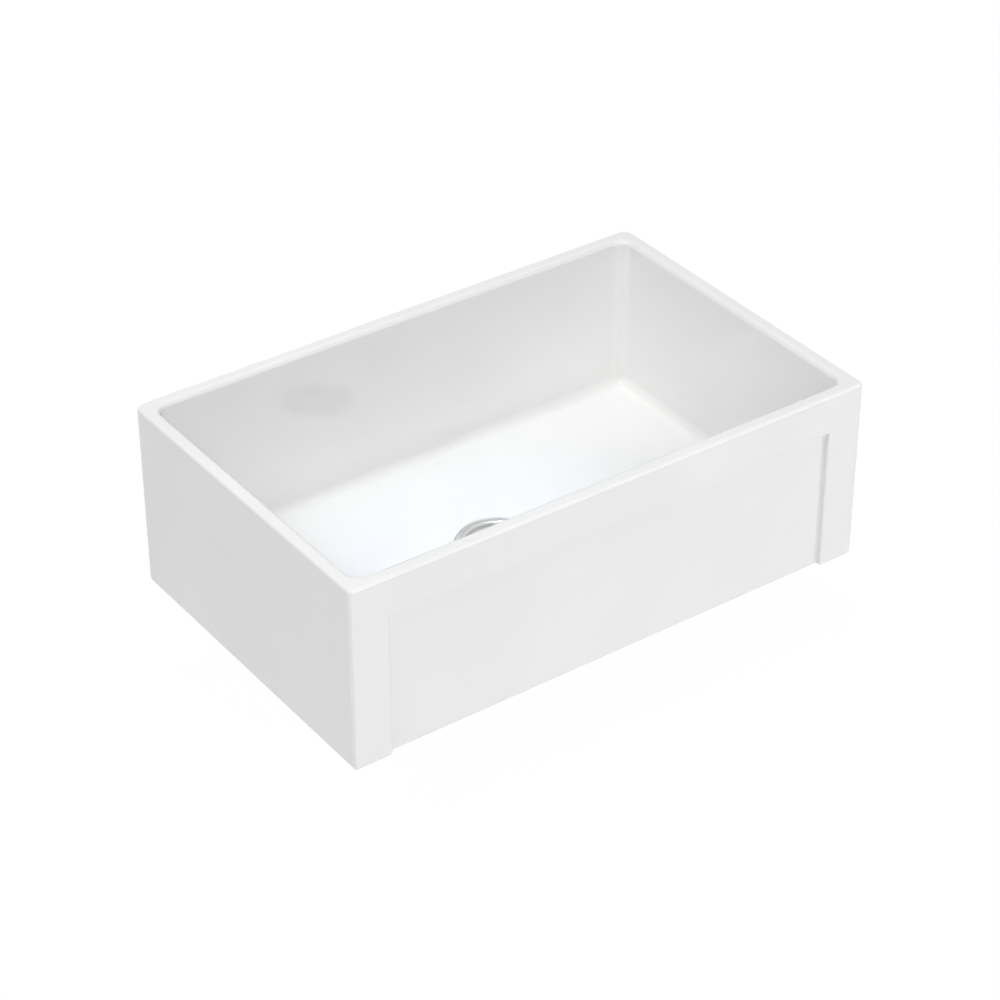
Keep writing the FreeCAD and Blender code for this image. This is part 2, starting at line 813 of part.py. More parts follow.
def make_basket_cup():
    """Crumb cup drawn from thin sheet: flat rim, tapering slotted wall and slotted floor."""
    wall_top = "(cup_radius - cup_wall - basket_wall_clearance)"
    rim = "(ledge_radius - basket_rim_clearance)"
    centre = "(bush_radius + bush_fit)"
    body = turned_body(
        "basket_cup",
        BASKET_SEAT,
        [
            (wall_top, "0"),
            (rim, "0"),
            (rim, "basket_sheet"),
            (f"{wall_top} - basket_sheet", "basket_sheet"),
            ("basket_floor_radius - basket_sheet", "basket_sheet - basket_depth"),
            (centre, "basket_sheet - basket_depth"),
            (centre, "-basket_depth"),
            ("basket_floor_radius", "-basket_depth"),
        ],
    )
    soften(
        body,
        "Chamfer",
        "basket_corner",
        "basket_corner_bevel",
        lambda edge: is_ring(edge, "basket_floor_radius", "-basket_depth"),
    )
    soften(
        body,
        "Chamfer",
        "basket_inner_corner",
        "basket_corner_bevel",
        lambda edge: is_ring(
            edge, "basket_floor_radius - basket_sheet", "basket_sheet - basket_depth"
        ),
    )
    wall_slot = new_sketch(body, "wall_slot", "YZ_Plane")
    draw_outline(
        wall_slot,
        box_corners(
            "-wall_slot_width / 2",
            "wall_slot_width / 2",
            "-wall_slot_drop - wall_slot_height",
            "-wall_slot_drop",
        ),
    )
    wall_pocket = extrude(body, "Pocket", wall_slot, "ledge_radius", reverse=True)
    repeat(body, [wall_pocket], "wall_slots", "wall_slots_round")
    floor_slot = new_sketch(body, "floor_slot", "XY_Plane", "-basket_depth")
    draw_outline(
        floor_slot,
        box_corners(
            "floor_slot_start",
            "floor_slot_start + floor_slot_length",
            "-floor_slot_width / 2",
            "floor_slot_width / 2",
        ),
    )
    floor_pocket = extrude(body, "Pocket", floor_slot, "basket_sheet", reverse=True)
    repeat(body, [floor_pocket], "floor_slots", "floor_slots_round")
    return body


def make_guide_bush():
    """Plastic guide through the basket's floor, with a groove for the grip ring."""
    bore = "(stem_radius + stem_fit)"
    floor = f"({BASKET_UNDERSIDE} + basket_sheet)"
    return turned_body(
        "guide_bush",
        floor,
        [
            (bore, f"{BUSH_END} - {floor}"),
            ("bush_radius", f"{BUSH_END} - {floor}"),
            ("bush_radius", "0"),
            ("bush_boss_radius", "0"),
            ("bush_boss_radius", "bush_boss_height"),
            (bore, "bush_boss_height"),
            (bore, "groove_rise + groove_height"),
            ("groove_radius", "groove_rise + groove_height"),
            ("groove_radius", "groove_rise"),
            (bore, "groove_rise"),
        ],
    )


def make_bush_nut():
    """Thin hexagon nut that holds the guide bush from below."""
    body = new_body("bush_nut", BASKET_UNDERSIDE)
    plan = new_sketch(body, "bush_nut_plan", "XY_Plane")
    draw_outline(plan, hexagon_corners("bush_nut_flat_radius"))
    draw_circle(plan, "0", "0", "bush_radius + bush_fit")
    extrude(body, "Pad", plan, "bush_nut_height", reverse=True)
    return body


def make_grip_ring():
    """Square-section rubber ring in the bush's groove, which holds the stem up when it is pulled."""
    return turned_body(
        "grip_ring",
        f"({BASKET_UNDERSIDE} + basket_sheet + groove_rise)",
        box_corners(
            "stem_radius + stem_fit",
            "groove_radius - grip_fit",
            "grip_fit",
            "groove_height - grip_fit",
        ),
    )


def make_stem():
    """Stem with a threaded top for the knob, a stop collar and a pilot for the hub."""
    top = "knob_thread_depth"
    return turned_body(
        "stem",
        KNOB_BASE,
        [
            ("0", top),
            ("stem_thread_radius", top),
            ("stem_thread_radius", "0"),
            ("stem_radius", "0"),
            ("stem_radius", f"{COLLAR_TOP} - {KNOB_BASE}"),
            ("collar_radius", f"{COLLAR_TOP} - {KNOB_BASE}"),
            ("collar_radius", f"{PLATE_TOP} - {KNOB_BASE}"),
            ("stem_thread_radius", f"{PLATE_TOP} - {KNOB_BASE}"),
            ("stem_thread_radius", f"{WASHER_BOTTOM} - pilot_length - {KNOB_BASE}"),
            ("0", f"{WASHER_BOTTOM} - pilot_length - {KNOB_BASE}"),
        ],
    )


def make_knob():
    """Mushroom pull knob screwed on the stem."""
    hole = "(stem_thread_radius + thread_clearance)"
    cap_base = "(knob_height - knob_cap_height)"
    body = turned_body(
        "knob",
        KNOB_BASE,
        [
            (hole, "0"),
            ("knob_waist_radius", "0"),
            ("knob_waist_radius", cap_base),
            ("knob_radius", cap_base),
            ("knob_radius", "knob_height"),
            ("0", "knob_height"),
            ("0", "knob_thread_depth + thread_clearance"),
            (hole, "knob_thread_depth + thread_clearance"),
        ],
    )
    soften(
        body,
        "Fillet",
        "knob_top_edge",
        "knob_soft_radius",
        lambda edge: is_ring(edge, "knob_radius", "knob_height"),
    )
    soften(
        body,
        "Chamfer",
        "knob_grip_edge",
        "knob_grip_bevel",
        lambda edge: is_ring(edge, "knob_radius", cap_base),
    )
    return body


def make_stopper_plate():
    """Steel plate that backs the rubber seal from above."""
    return turned_body(
        "stopper_plate",
        SEAL_TOP,
        box_corners(
            "stem_thread_radius + thread_clearance", "plate_radius", "0", "plate_thickness"
        ),
    )


def make_stopper_seal():
    """Rubber disc that closes the outlet."""
    return turned_body(
        "stopper_seal",
        SEAL_BOTTOM,
        [
            ("stem_thread_radius + thread_clearance", "0"),
            ("seal_radius - seal_taper", "0"),
            ("seal_radius", "seal_taper"),
            ("seal_radius", "seal_thickness - seal_taper / 2"),
            ("seal_radius - seal_taper / 2", "seal_thickness"),
            ("stem_thread_radius + thread_clearance", "seal_thickness"),
        ],
    )


def make_stopper_washer():
    """Washer under the seal."""
    return turned_body(
        "stopper_washer",
        WASHER_BOTTOM,
        box_corners(
            "stem_thread_radius + thread_clearance",
            "stopper_washer_radius",
            "0",
            "stopper_washer_thickness",
        ),
    )


def make_stopper_nut():
    """Hexagon nut that clamps the seal on the stem."""
    body = new_body("stopper_nut", WASHER_BOTTOM)
    plan = new_sketch(body, "stopper_nut_plan", "XY_Plane")
    draw_outline(plan, hexagon_corners("stopper_nut_flat_radius"))
    draw_circle(plan, "0", "0", "stem_thread_radius + thread_clearance")
    extrude(body, "Pad", plan, "stopper_nut_height", reverse=True)
    return body


MAKERS = (
    make_basin,
    make_putty_ring,
    make_strainer_body,
    make_outlet_spud,
    make_sink_washer,
    make_pressure_ring,
    make_locknut,
    make_jam_screws,
    make_tailpiece_washer,
    make_tailpiece,
    make_coupling_nut,
    make_basket_cup,
    make_guide_bush,
    make_bush_nut,
    make_grip_ring,
    make_stem,
    make_knob,
    make_stopper_plate,
    make_stopper_seal,
    make_stopper_washer,
    make_stopper_nut,
)


def main():
    fill_sheet()
    bodies = [make() for make in MAKERS]
    document.recompute()
    for item in document.Objects:
        if "Invalid" in item.State or "Error" in item.State:
            raise RuntimeError(f"{item.Name} failed: {item.State}")
    os.makedirs("parts", exist_ok=True)
    for body in bodies:
        shape = body.Shape
        if shape.isNull() or not shape.isValid():
            raise RuntimeError(f"{body.Label} has no valid shape")
        shape.exportStep(f"parts/{body.Label}.step")
        print(f"{body.Label}: {len(shape.Solids)} solid, {shape.Volume / 1000:.2f} cm3")


main()
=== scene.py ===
# %% [markdown]
# # An apron front sink and its drain
# This lesson dresses a kitchen sink for the studio. The sizes are already settled: a packed
# model, the frame, holds every piece at its real place. Here each piece gets its surface, and
# the round and rounded pieces are modelled again with finer curves than the frame carries.
#
# The first cell loads the frame and measures it, and sets the view that shows colours as they
# are written. Everything below is in metres, with +Z up and the apron facing -Y.

# %% Load the frame
import json
import math

import bmesh
import bpy
from mathutils import Matrix, Vector


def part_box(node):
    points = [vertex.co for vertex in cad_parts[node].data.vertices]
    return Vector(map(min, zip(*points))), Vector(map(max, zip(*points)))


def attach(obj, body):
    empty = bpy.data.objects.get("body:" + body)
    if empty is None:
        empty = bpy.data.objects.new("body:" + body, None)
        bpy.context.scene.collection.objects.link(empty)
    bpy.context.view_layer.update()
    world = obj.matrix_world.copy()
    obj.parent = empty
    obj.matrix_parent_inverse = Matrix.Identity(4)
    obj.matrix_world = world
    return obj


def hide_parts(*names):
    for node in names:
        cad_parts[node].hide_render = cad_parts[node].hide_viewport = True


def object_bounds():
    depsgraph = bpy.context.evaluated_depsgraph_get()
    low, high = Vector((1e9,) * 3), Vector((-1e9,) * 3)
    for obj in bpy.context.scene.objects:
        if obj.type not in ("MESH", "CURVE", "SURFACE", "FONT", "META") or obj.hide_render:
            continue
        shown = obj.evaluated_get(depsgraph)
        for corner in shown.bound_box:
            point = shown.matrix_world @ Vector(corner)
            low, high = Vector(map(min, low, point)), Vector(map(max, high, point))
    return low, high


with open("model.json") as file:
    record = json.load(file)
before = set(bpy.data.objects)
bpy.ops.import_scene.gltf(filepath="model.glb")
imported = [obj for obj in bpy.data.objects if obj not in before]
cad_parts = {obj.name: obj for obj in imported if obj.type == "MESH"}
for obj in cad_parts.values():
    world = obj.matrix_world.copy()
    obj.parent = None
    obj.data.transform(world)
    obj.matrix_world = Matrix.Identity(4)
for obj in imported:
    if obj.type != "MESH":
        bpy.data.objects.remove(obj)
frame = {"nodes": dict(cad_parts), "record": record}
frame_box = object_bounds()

MM = 0.001
scene = bpy.context.scene
scene.view_settings.view_transform = "Standard"
low_corner, high_corner = frame_box
print("frame:", [round(side / MM, 1) for side in high_corner - low_corner], "mm")

# %% [markdown]
# ## The camera
# A picture can only be compared with a photograph when both are taken from the same place.
# The straight edges of the sink in the photograph gave the place: 4 m away, in front and to
# the left, with a long lens. Guessing by eye would be quicker, but a long lens hides errors of
# half a metre, which then look like wrong proportions.

# %% Place the camera
CAMERA_AT = Vector((-1828.6, -2547.2, 2224.0)) * MM
CAMERA_AIM = Vector((-16.7, -21.6, 120.0)) * MM
FOCAL_PIXELS = 3005.8
FRAME_PIXELS = 1000.0


def add_object(name, data):
    """Puts a camera, a lamp or a mesh into the scene."""
    thing = bpy.data.objects.new(name, data)
    scene.collection.objects.link(thing)
    return thing


def looking(at, aim):
    """The place and turn of a camera or lamp that looks from one point at another."""
    turn = (Vector(aim) - Vector(at)).to_track_quat("-Z", "Y").to_matrix().to_4x4()
    return Matrix.Translation(at) @ turn


def make_camera():
    """A camera at the photograph's place, with its field of view."""
    data = bpy.data.cameras.new("studio_camera")
    data.sensor_width = 36.0
    data.lens = data.sensor_width * FOCAL_PIXELS / FRAME_PIXELS
    camera = add_object("studio_camera", data)
    camera.matrix_world = looking(CAMERA_AT, CAMERA_AIM)
    scene.camera = camera
    print("camera:", round(data.lens, 1), "mm lens")


make_camera()

# %% [markdown]
# ## Writing materials as sums
# A material in Blender is a tree of nodes. Wiring each node by hand takes five lines and hides
# the idea, so small classes do it. A Wire stands for one output, and + - * / < on it add the
# Math node for that sum, also with the number in front, as in 1 - mask. Palette.add makes any
# other node from its type, its settings and what goes into its sockets. A Finish is the palette
# of one material.

# %% Wires and palettes
def pick(sockets, name):
    """The socket at this place, or with this identifier or name."""
    if isinstance(name, int):
        return sockets[name]
    named = [socket for socket in sockets if name in (socket.identifier, socket.name)]
    return named[0]


class Wire:
    """One output of a node, on which sums are written as in plain Python."""

    def __init__(self, palette, socket):
        self.palette = palette
        self.socket = socket

    def maths(self, operation, *numbers):
        return self.palette.maths(operation, self, *numbers)

    def __add__(self, other):
        return self.maths("ADD", other)

    __radd__ = __add__

    def __sub__(self, other):
        return self.maths("SUBTRACT", other)

    def __rsub__(self, other):
        return self.palette.maths("SUBTRACT", other, self)

    def __mul__(self, other):
        return self.maths("MULTIPLY", other)

    __rmul__ = __mul__

    def __truediv__(self, other):
        return self.maths("DIVIDE", other)

    def __lt__(self, other):
        return self.maths("LESS_THAN", other)

    def clamped(self, low, high):
        """Goes from 0 at low to 1 at high, and stays there."""
        sockets = {"Value": self, "From Min": low, "From Max": high}
        return self.palette.add("ShaderNodeMapRange", {"clamp": True}, sockets)


class Palette:
    """The nodes of one material or world, and a short way to add to them."""

    def __init__(self, tree):
        self.tree = tree

    def feed(self, socket, level):
        """Links a Wire to a socket, or sets a plain level on it."""
        if isinstance(level, Wire):
            self.tree.links.new(level.socket, socket)
        else:
            socket.default_value = level

    def add(self, kind, settings=None, sockets=None, out=0):
        """A node of this type. Settings come first, because some decide which sockets it has."""
        node = self.tree.nodes.new(kind)
        for name, setting in (settings or {}).items():
            setattr(node, name, setting)
        for name, level in (sockets or {}).items():
            self.feed(pick(node.inputs, name), level)
        return Wire(self, pick(node.outputs, out))

    def maths(self, operation, *numbers):
        settings = {"operation": operation}
        return self.add("ShaderNodeMath", settings, dict(enumerate(numbers)))

    def mix(self, factor, first, second):
        """A colour between two colours."""
        sockets = {"Factor_Float": factor, "A_Color": first, "B_Color": second}
        return self.add("ShaderNodeMix", {"data_type": "RGBA"}, sockets, "Result_Color")

    def vector(self, operation, first, second=(0, 0, 0), out="Vector"):
        """A sum on vectors. Some operations, such as a length, need only the first."""
        sockets = {0: first, 1: second}
        return self.add("ShaderNodeVectorMath", {"operation": operation}, sockets, out)

    def split(self, vector):
        """The X, Y and Z of a vector."""
        node = self.add("ShaderNodeSeparateXYZ", None, {0: vector}).socket.node
        return [Wire(self, socket) for socket in node.outputs]

    def place(self, centre=(0, 0, 0)):
        """Where a point lies on its piece, in metres from a centre."""
        point = self.add("ShaderNodeTexCoord", out="Object")
        return self.vector("SUBTRACT", point, centre)

    def noise(self, where, per_metre, detail=2.0, roughness=0.5):
        """Noise from 0 to 1, with about so many lumps to the metre."""
        sockets = {"Vector": where, "Scale": per_metre, "Detail": detail, "Roughness": roughness}
        return self.add("ShaderNodeTexNoise", None, sockets, "Fac")


class Finish(Palette):
    """A material on the Principled shader. Plain levels are set on the shader's own sockets."""

    def __init__(self, name, **levels):
        self.material = bpy.data.materials.new(name)
        self.material.use_nodes = True
        super().__init__(self.material.node_tree)
        self.shader = self.tree.nodes["Principled BSDF"]
        for socket, level in levels.items():
            self.paint(socket.replace("_", " "), level)

    def paint(self, socket, level):
        self.feed(self.shader.inputs[socket], level)

    def emboss(self, height, depth_mm):
        """Raises the surface by height, a value from 0 to 1, times a depth."""
        sockets = {"Height": height, "Distance": depth_mm * MM}
        self.paint("Normal", self.add("ShaderNodeBump", None, sockets, "Normal"))


print("palette ready")

# %% [markdown]
# ## Studio
# The photograph has a white ground with hardly a shadow. A white ground could come from more
# light, but that would burn the white glaze out too. So the floor and the sky show white only
# to the camera and to mirror reflections, and light the sink at an ordinary level. The floor
# keeps a share of real shading, which is where the soft shadow shows.
#
# White china on white needs its sides at different levels, so each lamp has one job. The one
# overhead lights the rim and the floor of the bowl. Two stand high, in front and at the left,
# and light the bowl's far walls. These three are far off, because a near lamp would make the
# near rim brighter than the far one. The two strongest aren't mirrored, because their images
# would burn out on the apron and the flange. Three lie low, where the rim keeps them out of the
# bowl: one evens the apron out, and the others lift the back and the right side, which the
# photograph doesn't show. A narrow cool beam falls on the bowl's floor alone, as daylight.

# %% Set up floor, sky and lamps
FLOOR_GAP = 0.2 * MM
FLOOR_HALF = 12.0
FLOOR_GREY = (0.82, 0.82, 0.82, 1.0)
FLOOR_SHARE = (0.04, 0.04, 0.04, 1.0)  # how much of its own shading the floor shows
FLOOR_GLOW = 0.975
SKY_LEVEL = 0.30
WHITE = (1.0, 1.0, 1.0)
COOL = (0.70, 0.83, 1.0)


def seen_directly(palette):
    """1 for rays from the camera, from a mirror or through glass, and 0 for diffuse light."""
    path = "ShaderNodeLightPath"
    camera_ray = palette.add(path, out="Is Camera Ray")
    glossy_ray = palette.add(path, out="Is Glossy Ray")
    glass_ray = palette.add(path, out="Is Transmission Ray")
    return camera_ray.maths("MAXIMUM", glossy_ray).maths("MAXIMUM", glass_ray)


def make_sky():
    """White where it is seen, and a plain grey light for everything else."""
    world = bpy.data.worlds.new("studio_sky")
    scene.world = world
    world.use_nodes = True
    sky = Palette(world.node_tree)
    background = world.node_tree.nodes["Background"]
    sky.feed(background.inputs["Color"], (*WHITE, 1.0))
    sky.feed(background.inputs["Strength"], SKY_LEVEL + (1.0 - SKY_LEVEL) * seen_directly(sky))


def make_floor():
    """A wide floor that shows from above and lets a camera below look up through it."""
    shape = bmesh.new()
    bmesh.ops.create_grid(shape, x_segments=1, y_segments=1, size=FLOOR_HALF)
    bmesh.ops.translate(shape, verts=shape.verts, vec=(0, 0, low_corner.z - FLOOR_GAP))
    mesh = bpy.data.meshes.new("studio_floor")
    shape.to_mesh(mesh)
    shape.free()
    floor = add_object("studio_floor", mesh)
    paint = Finish("studio_floor", Roughness=1.0, Specular_IOR_Level=0.0, Base_Color=FLOOR_GREY)
    matt = Wire(paint, paint.shader.outputs[0])
    shading = paint.add("ShaderNodeBsdfDiffuse", None, {"Color": FLOOR_SHARE})
    glow = paint.add("ShaderNodeEmission", None, {"Strength": FLOOR_GLOW})
    shown = paint.add("ShaderNodeAddShader", None, {0: shading, 1: glow})
    above = paint.add("ShaderNodeMixShader", None, {0: seen_directly(paint), 1: matt, 2: shown})
    backface = paint.add("ShaderNodeNewGeometry", out="Backfacing")
    clear = paint.add("ShaderNodeBsdfTransparent")
    both = paint.add("ShaderNodeMixShader", None, {0: backface, 1: above, 2: clear})
    paint.feed(paint.tree.nodes["Material Output"].inputs["Surface"], both)
    mesh.materials.append(paint.material)


def make_lamp(name, at, aim, size, watts, spread=180.0, colour=WHITE, mirrored=True):
    """A soft lamp, as wide and long as its size, whose light spreads by so many degrees."""
    data = bpy.data.lights.new(name, "AREA")
    data.shape = "RECTANGLE"
    data.size, data.size_y = size
    data.energy = watts
    data.spread = math.radians(spread)
    data.color = colour
    lamp = add_object(name, data)
    lamp.visible_glossy = mirrored
    lamp.matrix_world = looking(at, aim)


make_sky()
make_floor()
make_lamp("overhead", (-0.5, 0.0, 4.0), (0.0, 0.0, 0.0), (1.2, 0.8), 51.0, mirrored=False)
make_lamp("front_high", (-0.8, -4.9, 3.1), (0.0, 0.0, 0.1), (2.8, 2.0), 91.0, mirrored=False)
make_lamp("left_high", (-3.2, -0.8, 3.7), (0.0, 0.0, 0.1), (1.6, 1.6), 51.0)
make_lamp("apron_low", (1.3, -2.4, 0.10), (0.2, -0.1, 0.12), (1.6, 0.28), 10.0)
make_lamp("back_low", (0.3, 2.6, 0.10), (0.0, 0.1, 0.12), (1.6, 0.28), 12.0)
make_lamp("right_low", (2.8, 0.4, 0.10), (0.3, 0.0, 0.12), (1.4, 0.28), 8.0)
make_lamp("bowl_beam", (-0.05, 0.0, 2.2), (-0.05, 0.0, 0.0), (0.48, 0.26), 0.15, 10.0, COOL)
lamps = [thing.name for thing in scene.objects if thing.type == "LIGHT"]
print("studio:", ", ".join(lamps))

# %% [markdown]
# ## The basin's sizes
# The glaze and the shape both need a few sizes of the basin. The outer ones are read from the
# frame, and the radii and widths are the ones that the mould was cut to.

# %% Sizes of the basin, in millimetres
BASIN_LOW, BASIN_HIGH = (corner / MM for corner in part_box("basin"))
RIM_WIDTH = 19.5
RIM_OUTER_RADIUS = 3.5
RIM_INNER_RADIUS = 7.0
FRONT_CORNER_RADIUS = 6.0
BACK_CORNER_RADIUS = 14.0
BOWL_CORNER_RADIUS = 18.0
BOWL_COVE_RADIUS = 14.0
WALL_DRAFT = 1.0
APRON_BACKING = 9.0
FLOOR_HEIGHT = 36.5
RAIL_HEIGHT = 56.0
STILE_WIDTH = 53.0
PANEL_RECESS = 7.0
PANEL_EDGE_RADIUS = 1.8
PANEL_COVE_RADIUS = 2.5
BASE_EDGE_RADIUS = 7.5
CORNER_STEPS = 10
PANEL_SIDE = BASIN_HIGH.x - STILE_WIDTH
RAIL_UNDERSIDE = BASIN_HIGH.z - RAIL_HEIGHT
PANEL_Y = BASIN_LOW.y + PANEL_RECESS
DRAIN_SETBACK = 4.0
print("basin:", [round(side, 1) for side in BASIN_HIGH - BASIN_LOW], "mm")

# %% [markdown]
# ## The glaze
# Fireclay is dipped in a thick white glaze. It pools flat and glossy, with a faint orange peel,
# and runs thin over every rounded outer edge, where it looks a little warmer. The object's
# normal tells where that is: on a flat face it points along one axis, and on a rounded edge
# between two. The bowl's inner corners look the same to that test; there the tint is toned down
# by place, and what is left of it is painted shade in those corners. Round the panel a grey line
# of painted shade darkens the inner corner, at a place known from the panel's size.
# The foot stands on the kiln shelf, so its flat is wiped bare before firing.

# %% Mix the glaze
GLAZE_WHITE = (0.895, 0.897, 0.89, 1.0)
GLAZE_SHADE = (0.875, 0.878, 0.872, 1.0)
# warm tint of thin glaze on outer edges, also used as painted shade in the bowl's inner corners
GLAZE_THIN_AND_SHADE = (0.815, 0.808, 0.79, 1.0)
# grey of the painted shade in the inner corner round the panel
GLAZE_PANEL_SHADE = (0.81, 0.815, 0.81, 1.0)
BARE_CLAY = (0.70, 0.63, 0.53, 1.0)
GLAZE_IOR = 1.65
THIN_AND_SHADE_FROM_TO = (0.10, 0.34)  # how far the normal is off its axis where the tint starts and ends
THIN_AND_SHADE_STRENGTH = 0.75
# the share of the tint taken off inside the bowl; what is left there is painted shade
BOWL_TONED_DOWN = 0.6
PANEL_SHADE_WIDTH = 4.5  # millimetres of painted shade to either side of the corner's line
PANEL_SHADE_FULL = 0.8  # the share of the way in at which the painted shade is full
MASK_MARGIN = 1.0  # millimetres that a mask by place reaches past its face
WIPED_HEIGHT = 0.6  # millimetres up to which the clay is bare
WIPED_WANDER = 1.2  # millimetres by which that line wanders


def in_bowl(across, depth, height):
    """1 inside the bowl, below the rounding of its rim, and 0 elsewhere."""
    across = across < (BASIN_HIGH.x - RIM_WIDTH + MASK_MARGIN) * MM
    depth = depth.maths("ABSOLUTE") < (BASIN_HIGH.y - RIM_WIDTH + MASK_MARGIN) * MM
    return across * depth * (height < (BASIN_HIGH.z - RIM_INNER_RADIUS) * MM)


def panel_corner_shade(across, depth, height):
    """Painted shade in the inner corner round the panel: 1 at its line, and 0 a set width away."""
    outside = (across - PANEL_SIDE * MM).maths("MAXIMUM", height - RAIL_UNDERSIDE * MM)
    away = (outside + PANEL_COVE_RADIUS / 2 * MM).maths("ABSOLUTE")
    line = (1.0 - away / (PANEL_SHADE_WIDTH * MM)).clamped(0.0, PANEL_SHADE_FULL)
    return line * (depth < (PANEL_Y + MASK_MARGIN) * MM)


def mix_glaze():
    glaze = Finish("white_glaze", IOR=GLAZE_IOR)
    where = glaze.place()
    across, depth, height = glaze.split(where)
    across = across.maths("ABSOLUTE")
    normal = glaze.add("ShaderNodeTexCoord", out="Normal")
    sideways, forwards, upwards = glaze.split(glaze.vector("ABSOLUTE", normal))
    flatness = sideways.maths("MAXIMUM", forwards).maths("MAXIMUM", upwards)
    ragged = glaze.noise(where, 45.0, 3.0)
    thin_and_shade = (1.0 - flatness + 0.08 * ragged).clamped(*THIN_AND_SHADE_FROM_TO)
    # inside the bowl the tint is cut back, and what is left darkens the inner corners as painted
    # shade
    thin_and_shade = thin_and_shade * (1.0 - BOWL_TONED_DOWN * in_bowl(across, depth, height))
    mottle = glaze.noise(where, 7.0).clamped(0.35, 0.65)
    colour = glaze.mix(mottle, GLAZE_WHITE, GLAZE_SHADE)
    # warmer tint where the glaze runs thin on outer edges, and painted shade in the bowl's inner
    # corners
    colour = glaze.mix(THIN_AND_SHADE_STRENGTH * thin_and_shade, colour, GLAZE_THIN_AND_SHADE)
    # painted shade: a grey line along the inner corner round the panel
    colour = glaze.mix(panel_corner_shade(across, depth, height), colour, GLAZE_PANEL_SHADE)
    wiped = height + WIPED_WANDER * MM * (ragged - 0.5) < WIPED_HEIGHT * MM
    colour = glaze.mix(wiped, colour, BARE_CLAY)
    glaze.paint("Base Color", colour)
    smears = glaze.noise(where, 11.0, 3.0).clamped(0.4, 0.7)
    glaze.paint("Roughness", 0.02 + 0.03 * smears + 0.75 * wiped)
    peel = glaze.noise(where, 70.0, 1.0) + 0.35 * glaze.noise(where, 210.0, 1.0)
    grain = glaze.noise(where, 1400.0)
    glaze.emboss(peel * (1.0 - wiped) + 3.0 * grain * wiped, 0.03)
    return glaze.material


FINISHES = {"glaze": mix_glaze()}
print("mixed:", *FINISHES)

# %% [markdown]
# ## The metals
# Everything round in the drain was spun or turned on a lathe, so its fine scratches run in
# rings about the drain's axis. A noise stretched in rings does that: it changes fast with the
# distance from the axis and slowly with the direction. The direction enters as a unit vector,
# because an angle would leave a seam where it jumps from one half turn to the other.

# %% Mix the metals
DRAIN_AXIS = Vector((0.0, DRAIN_SETBACK, 0.0)) * MM
CUP_TOP = 28.5  # millimetres, where the cup's dull steel and painted shade give way to the bright flange
FLANGE_EDGE = 31.5
STEEL_LIGHT = (0.86, 0.86, 0.845, 1)
STEEL_DARK = (0.55, 0.55, 0.54, 1)
# the cup's colours: dull pressed steel, darkened further by painted shade
SHADED_CUP_LIGHT = (0.34, 0.34, 0.33, 1)
SHADED_CUP_DARK = (0.20, 0.20, 0.19, 1)
STAINLESS = (0.68, 0.68, 0.67)
CHROME = (0.62, 0.63, 0.65)
BRASS = (0.66, 0.50, 0.25, 1)
BRASS_STAIN = (0.38, 0.26, 0.12, 1)
ZINC = (0.58, 0.59, 0.61, 1)
ZINC_CLOUD = (0.43, 0.43, 0.42, 1)


def ring_scratches(metal, per_metre, spread=1.2):
    """Fine noise that runs in rings about the drain's axis."""
    where = metal.place(DRAIN_AXIS)
    level = metal.vector("MULTIPLY", where, (1, 1, 0))
    radius = metal.vector("LENGTH", level, out="Value")
    height = metal.split(where)[2]
    rings = metal.add("ShaderNodeCombineXYZ", None, {"Z": (radius + height) * per_metre})
    direction = metal.vector("NORMALIZE", level)
    stretched = metal.vector("MULTIPLY", direction, (spread, spread, spread))
    return metal.noise(metal.vector("ADD", stretched, rings), 1.0, 3.0, 0.65)


def mix_brushed_steel():
    """Bright and brushed on the flange; in the cup below it, dull from the press and darkened by
    painted shade.
    """
    steel = Finish("brushed_stainless", Metallic=1.0)
    height = steel.split(steel.place())[2]
    in_cup = 1.0 - height.clamped(CUP_TOP * MM, FLANGE_EDGE * MM)
    scratch = ring_scratches(steel, 2200.0)
    bands = ring_scratches(steel, 420.0, 0.8)
    shade = (0.45 * scratch + 0.55 * bands).clamped(0.38, 0.62)
    bright = steel.mix(shade, STEEL_DARK, STEEL_LIGHT)
    # painted shade in the cup, on top of its duller pressed finish
    dull = steel.mix(shade, SHADED_CUP_DARK, SHADED_CUP_LIGHT)
    steel.paint("Base Color", steel.mix(in_cup, bright, dull))
    steel.paint("Roughness", 0.24 + 0.16 * shade + 0.08 * in_cup)
    steel.emboss(scratch, 0.012)
    return steel.material


def mix_chrome(name, colour, roughness):
    """Bright plating over turned brass, with the smudges of fitting it."""
    chrome = Finish(name, Metallic=1.0)
    smudge = chrome.noise(chrome.place(), 60.0, 4.0).clamped(0.45, 0.75)
    dull = tuple(0.9 * level for level in colour)
    chrome.paint("Base Color", chrome.mix(smudge, (*colour, 1), (*dull, 1)))
    chrome.paint("Roughness", roughness + 0.12 * smudge)
    chrome.emboss(ring_scratches(chrome, 900.0), 0.004)
    return chrome.material


def mix_cast_brass():
    """Sand-cast brass: grainy, with brown in its hollows."""
    brass = Finish("cast_brass", Metallic=1.0)
    where = brass.place()
    grain = brass.noise(where, 900.0, 3.0)
    stain = brass.noise(where, 55.0, 4.0).clamped(0.42, 0.72)
    brass.paint("Base Color", brass.mix(stain, BRASS, BRASS_STAIN))
    brass.paint("Roughness", 0.36 + 0.25 * stain)
    brass.emboss(grain, 0.06)
    return brass.material


def mix_zinc_steel():
    """Zinc-plated steel, with the cloudy patches that plating leaves."""
    zinc = Finish("zinc_steel", Metallic=1.0)
    where = zinc.place()
    cloud = zinc.noise(where, 120.0, 4.0).clamped(0.35, 0.7)
    zinc.paint("Base Color", zinc.mix(cloud, ZINC, ZINC_CLOUD))
    zinc.paint("Roughness", 0.28 + 0.2 * cloud)
    zinc.emboss(zinc.noise(where, 1500.0), 0.01)
    return zinc.material


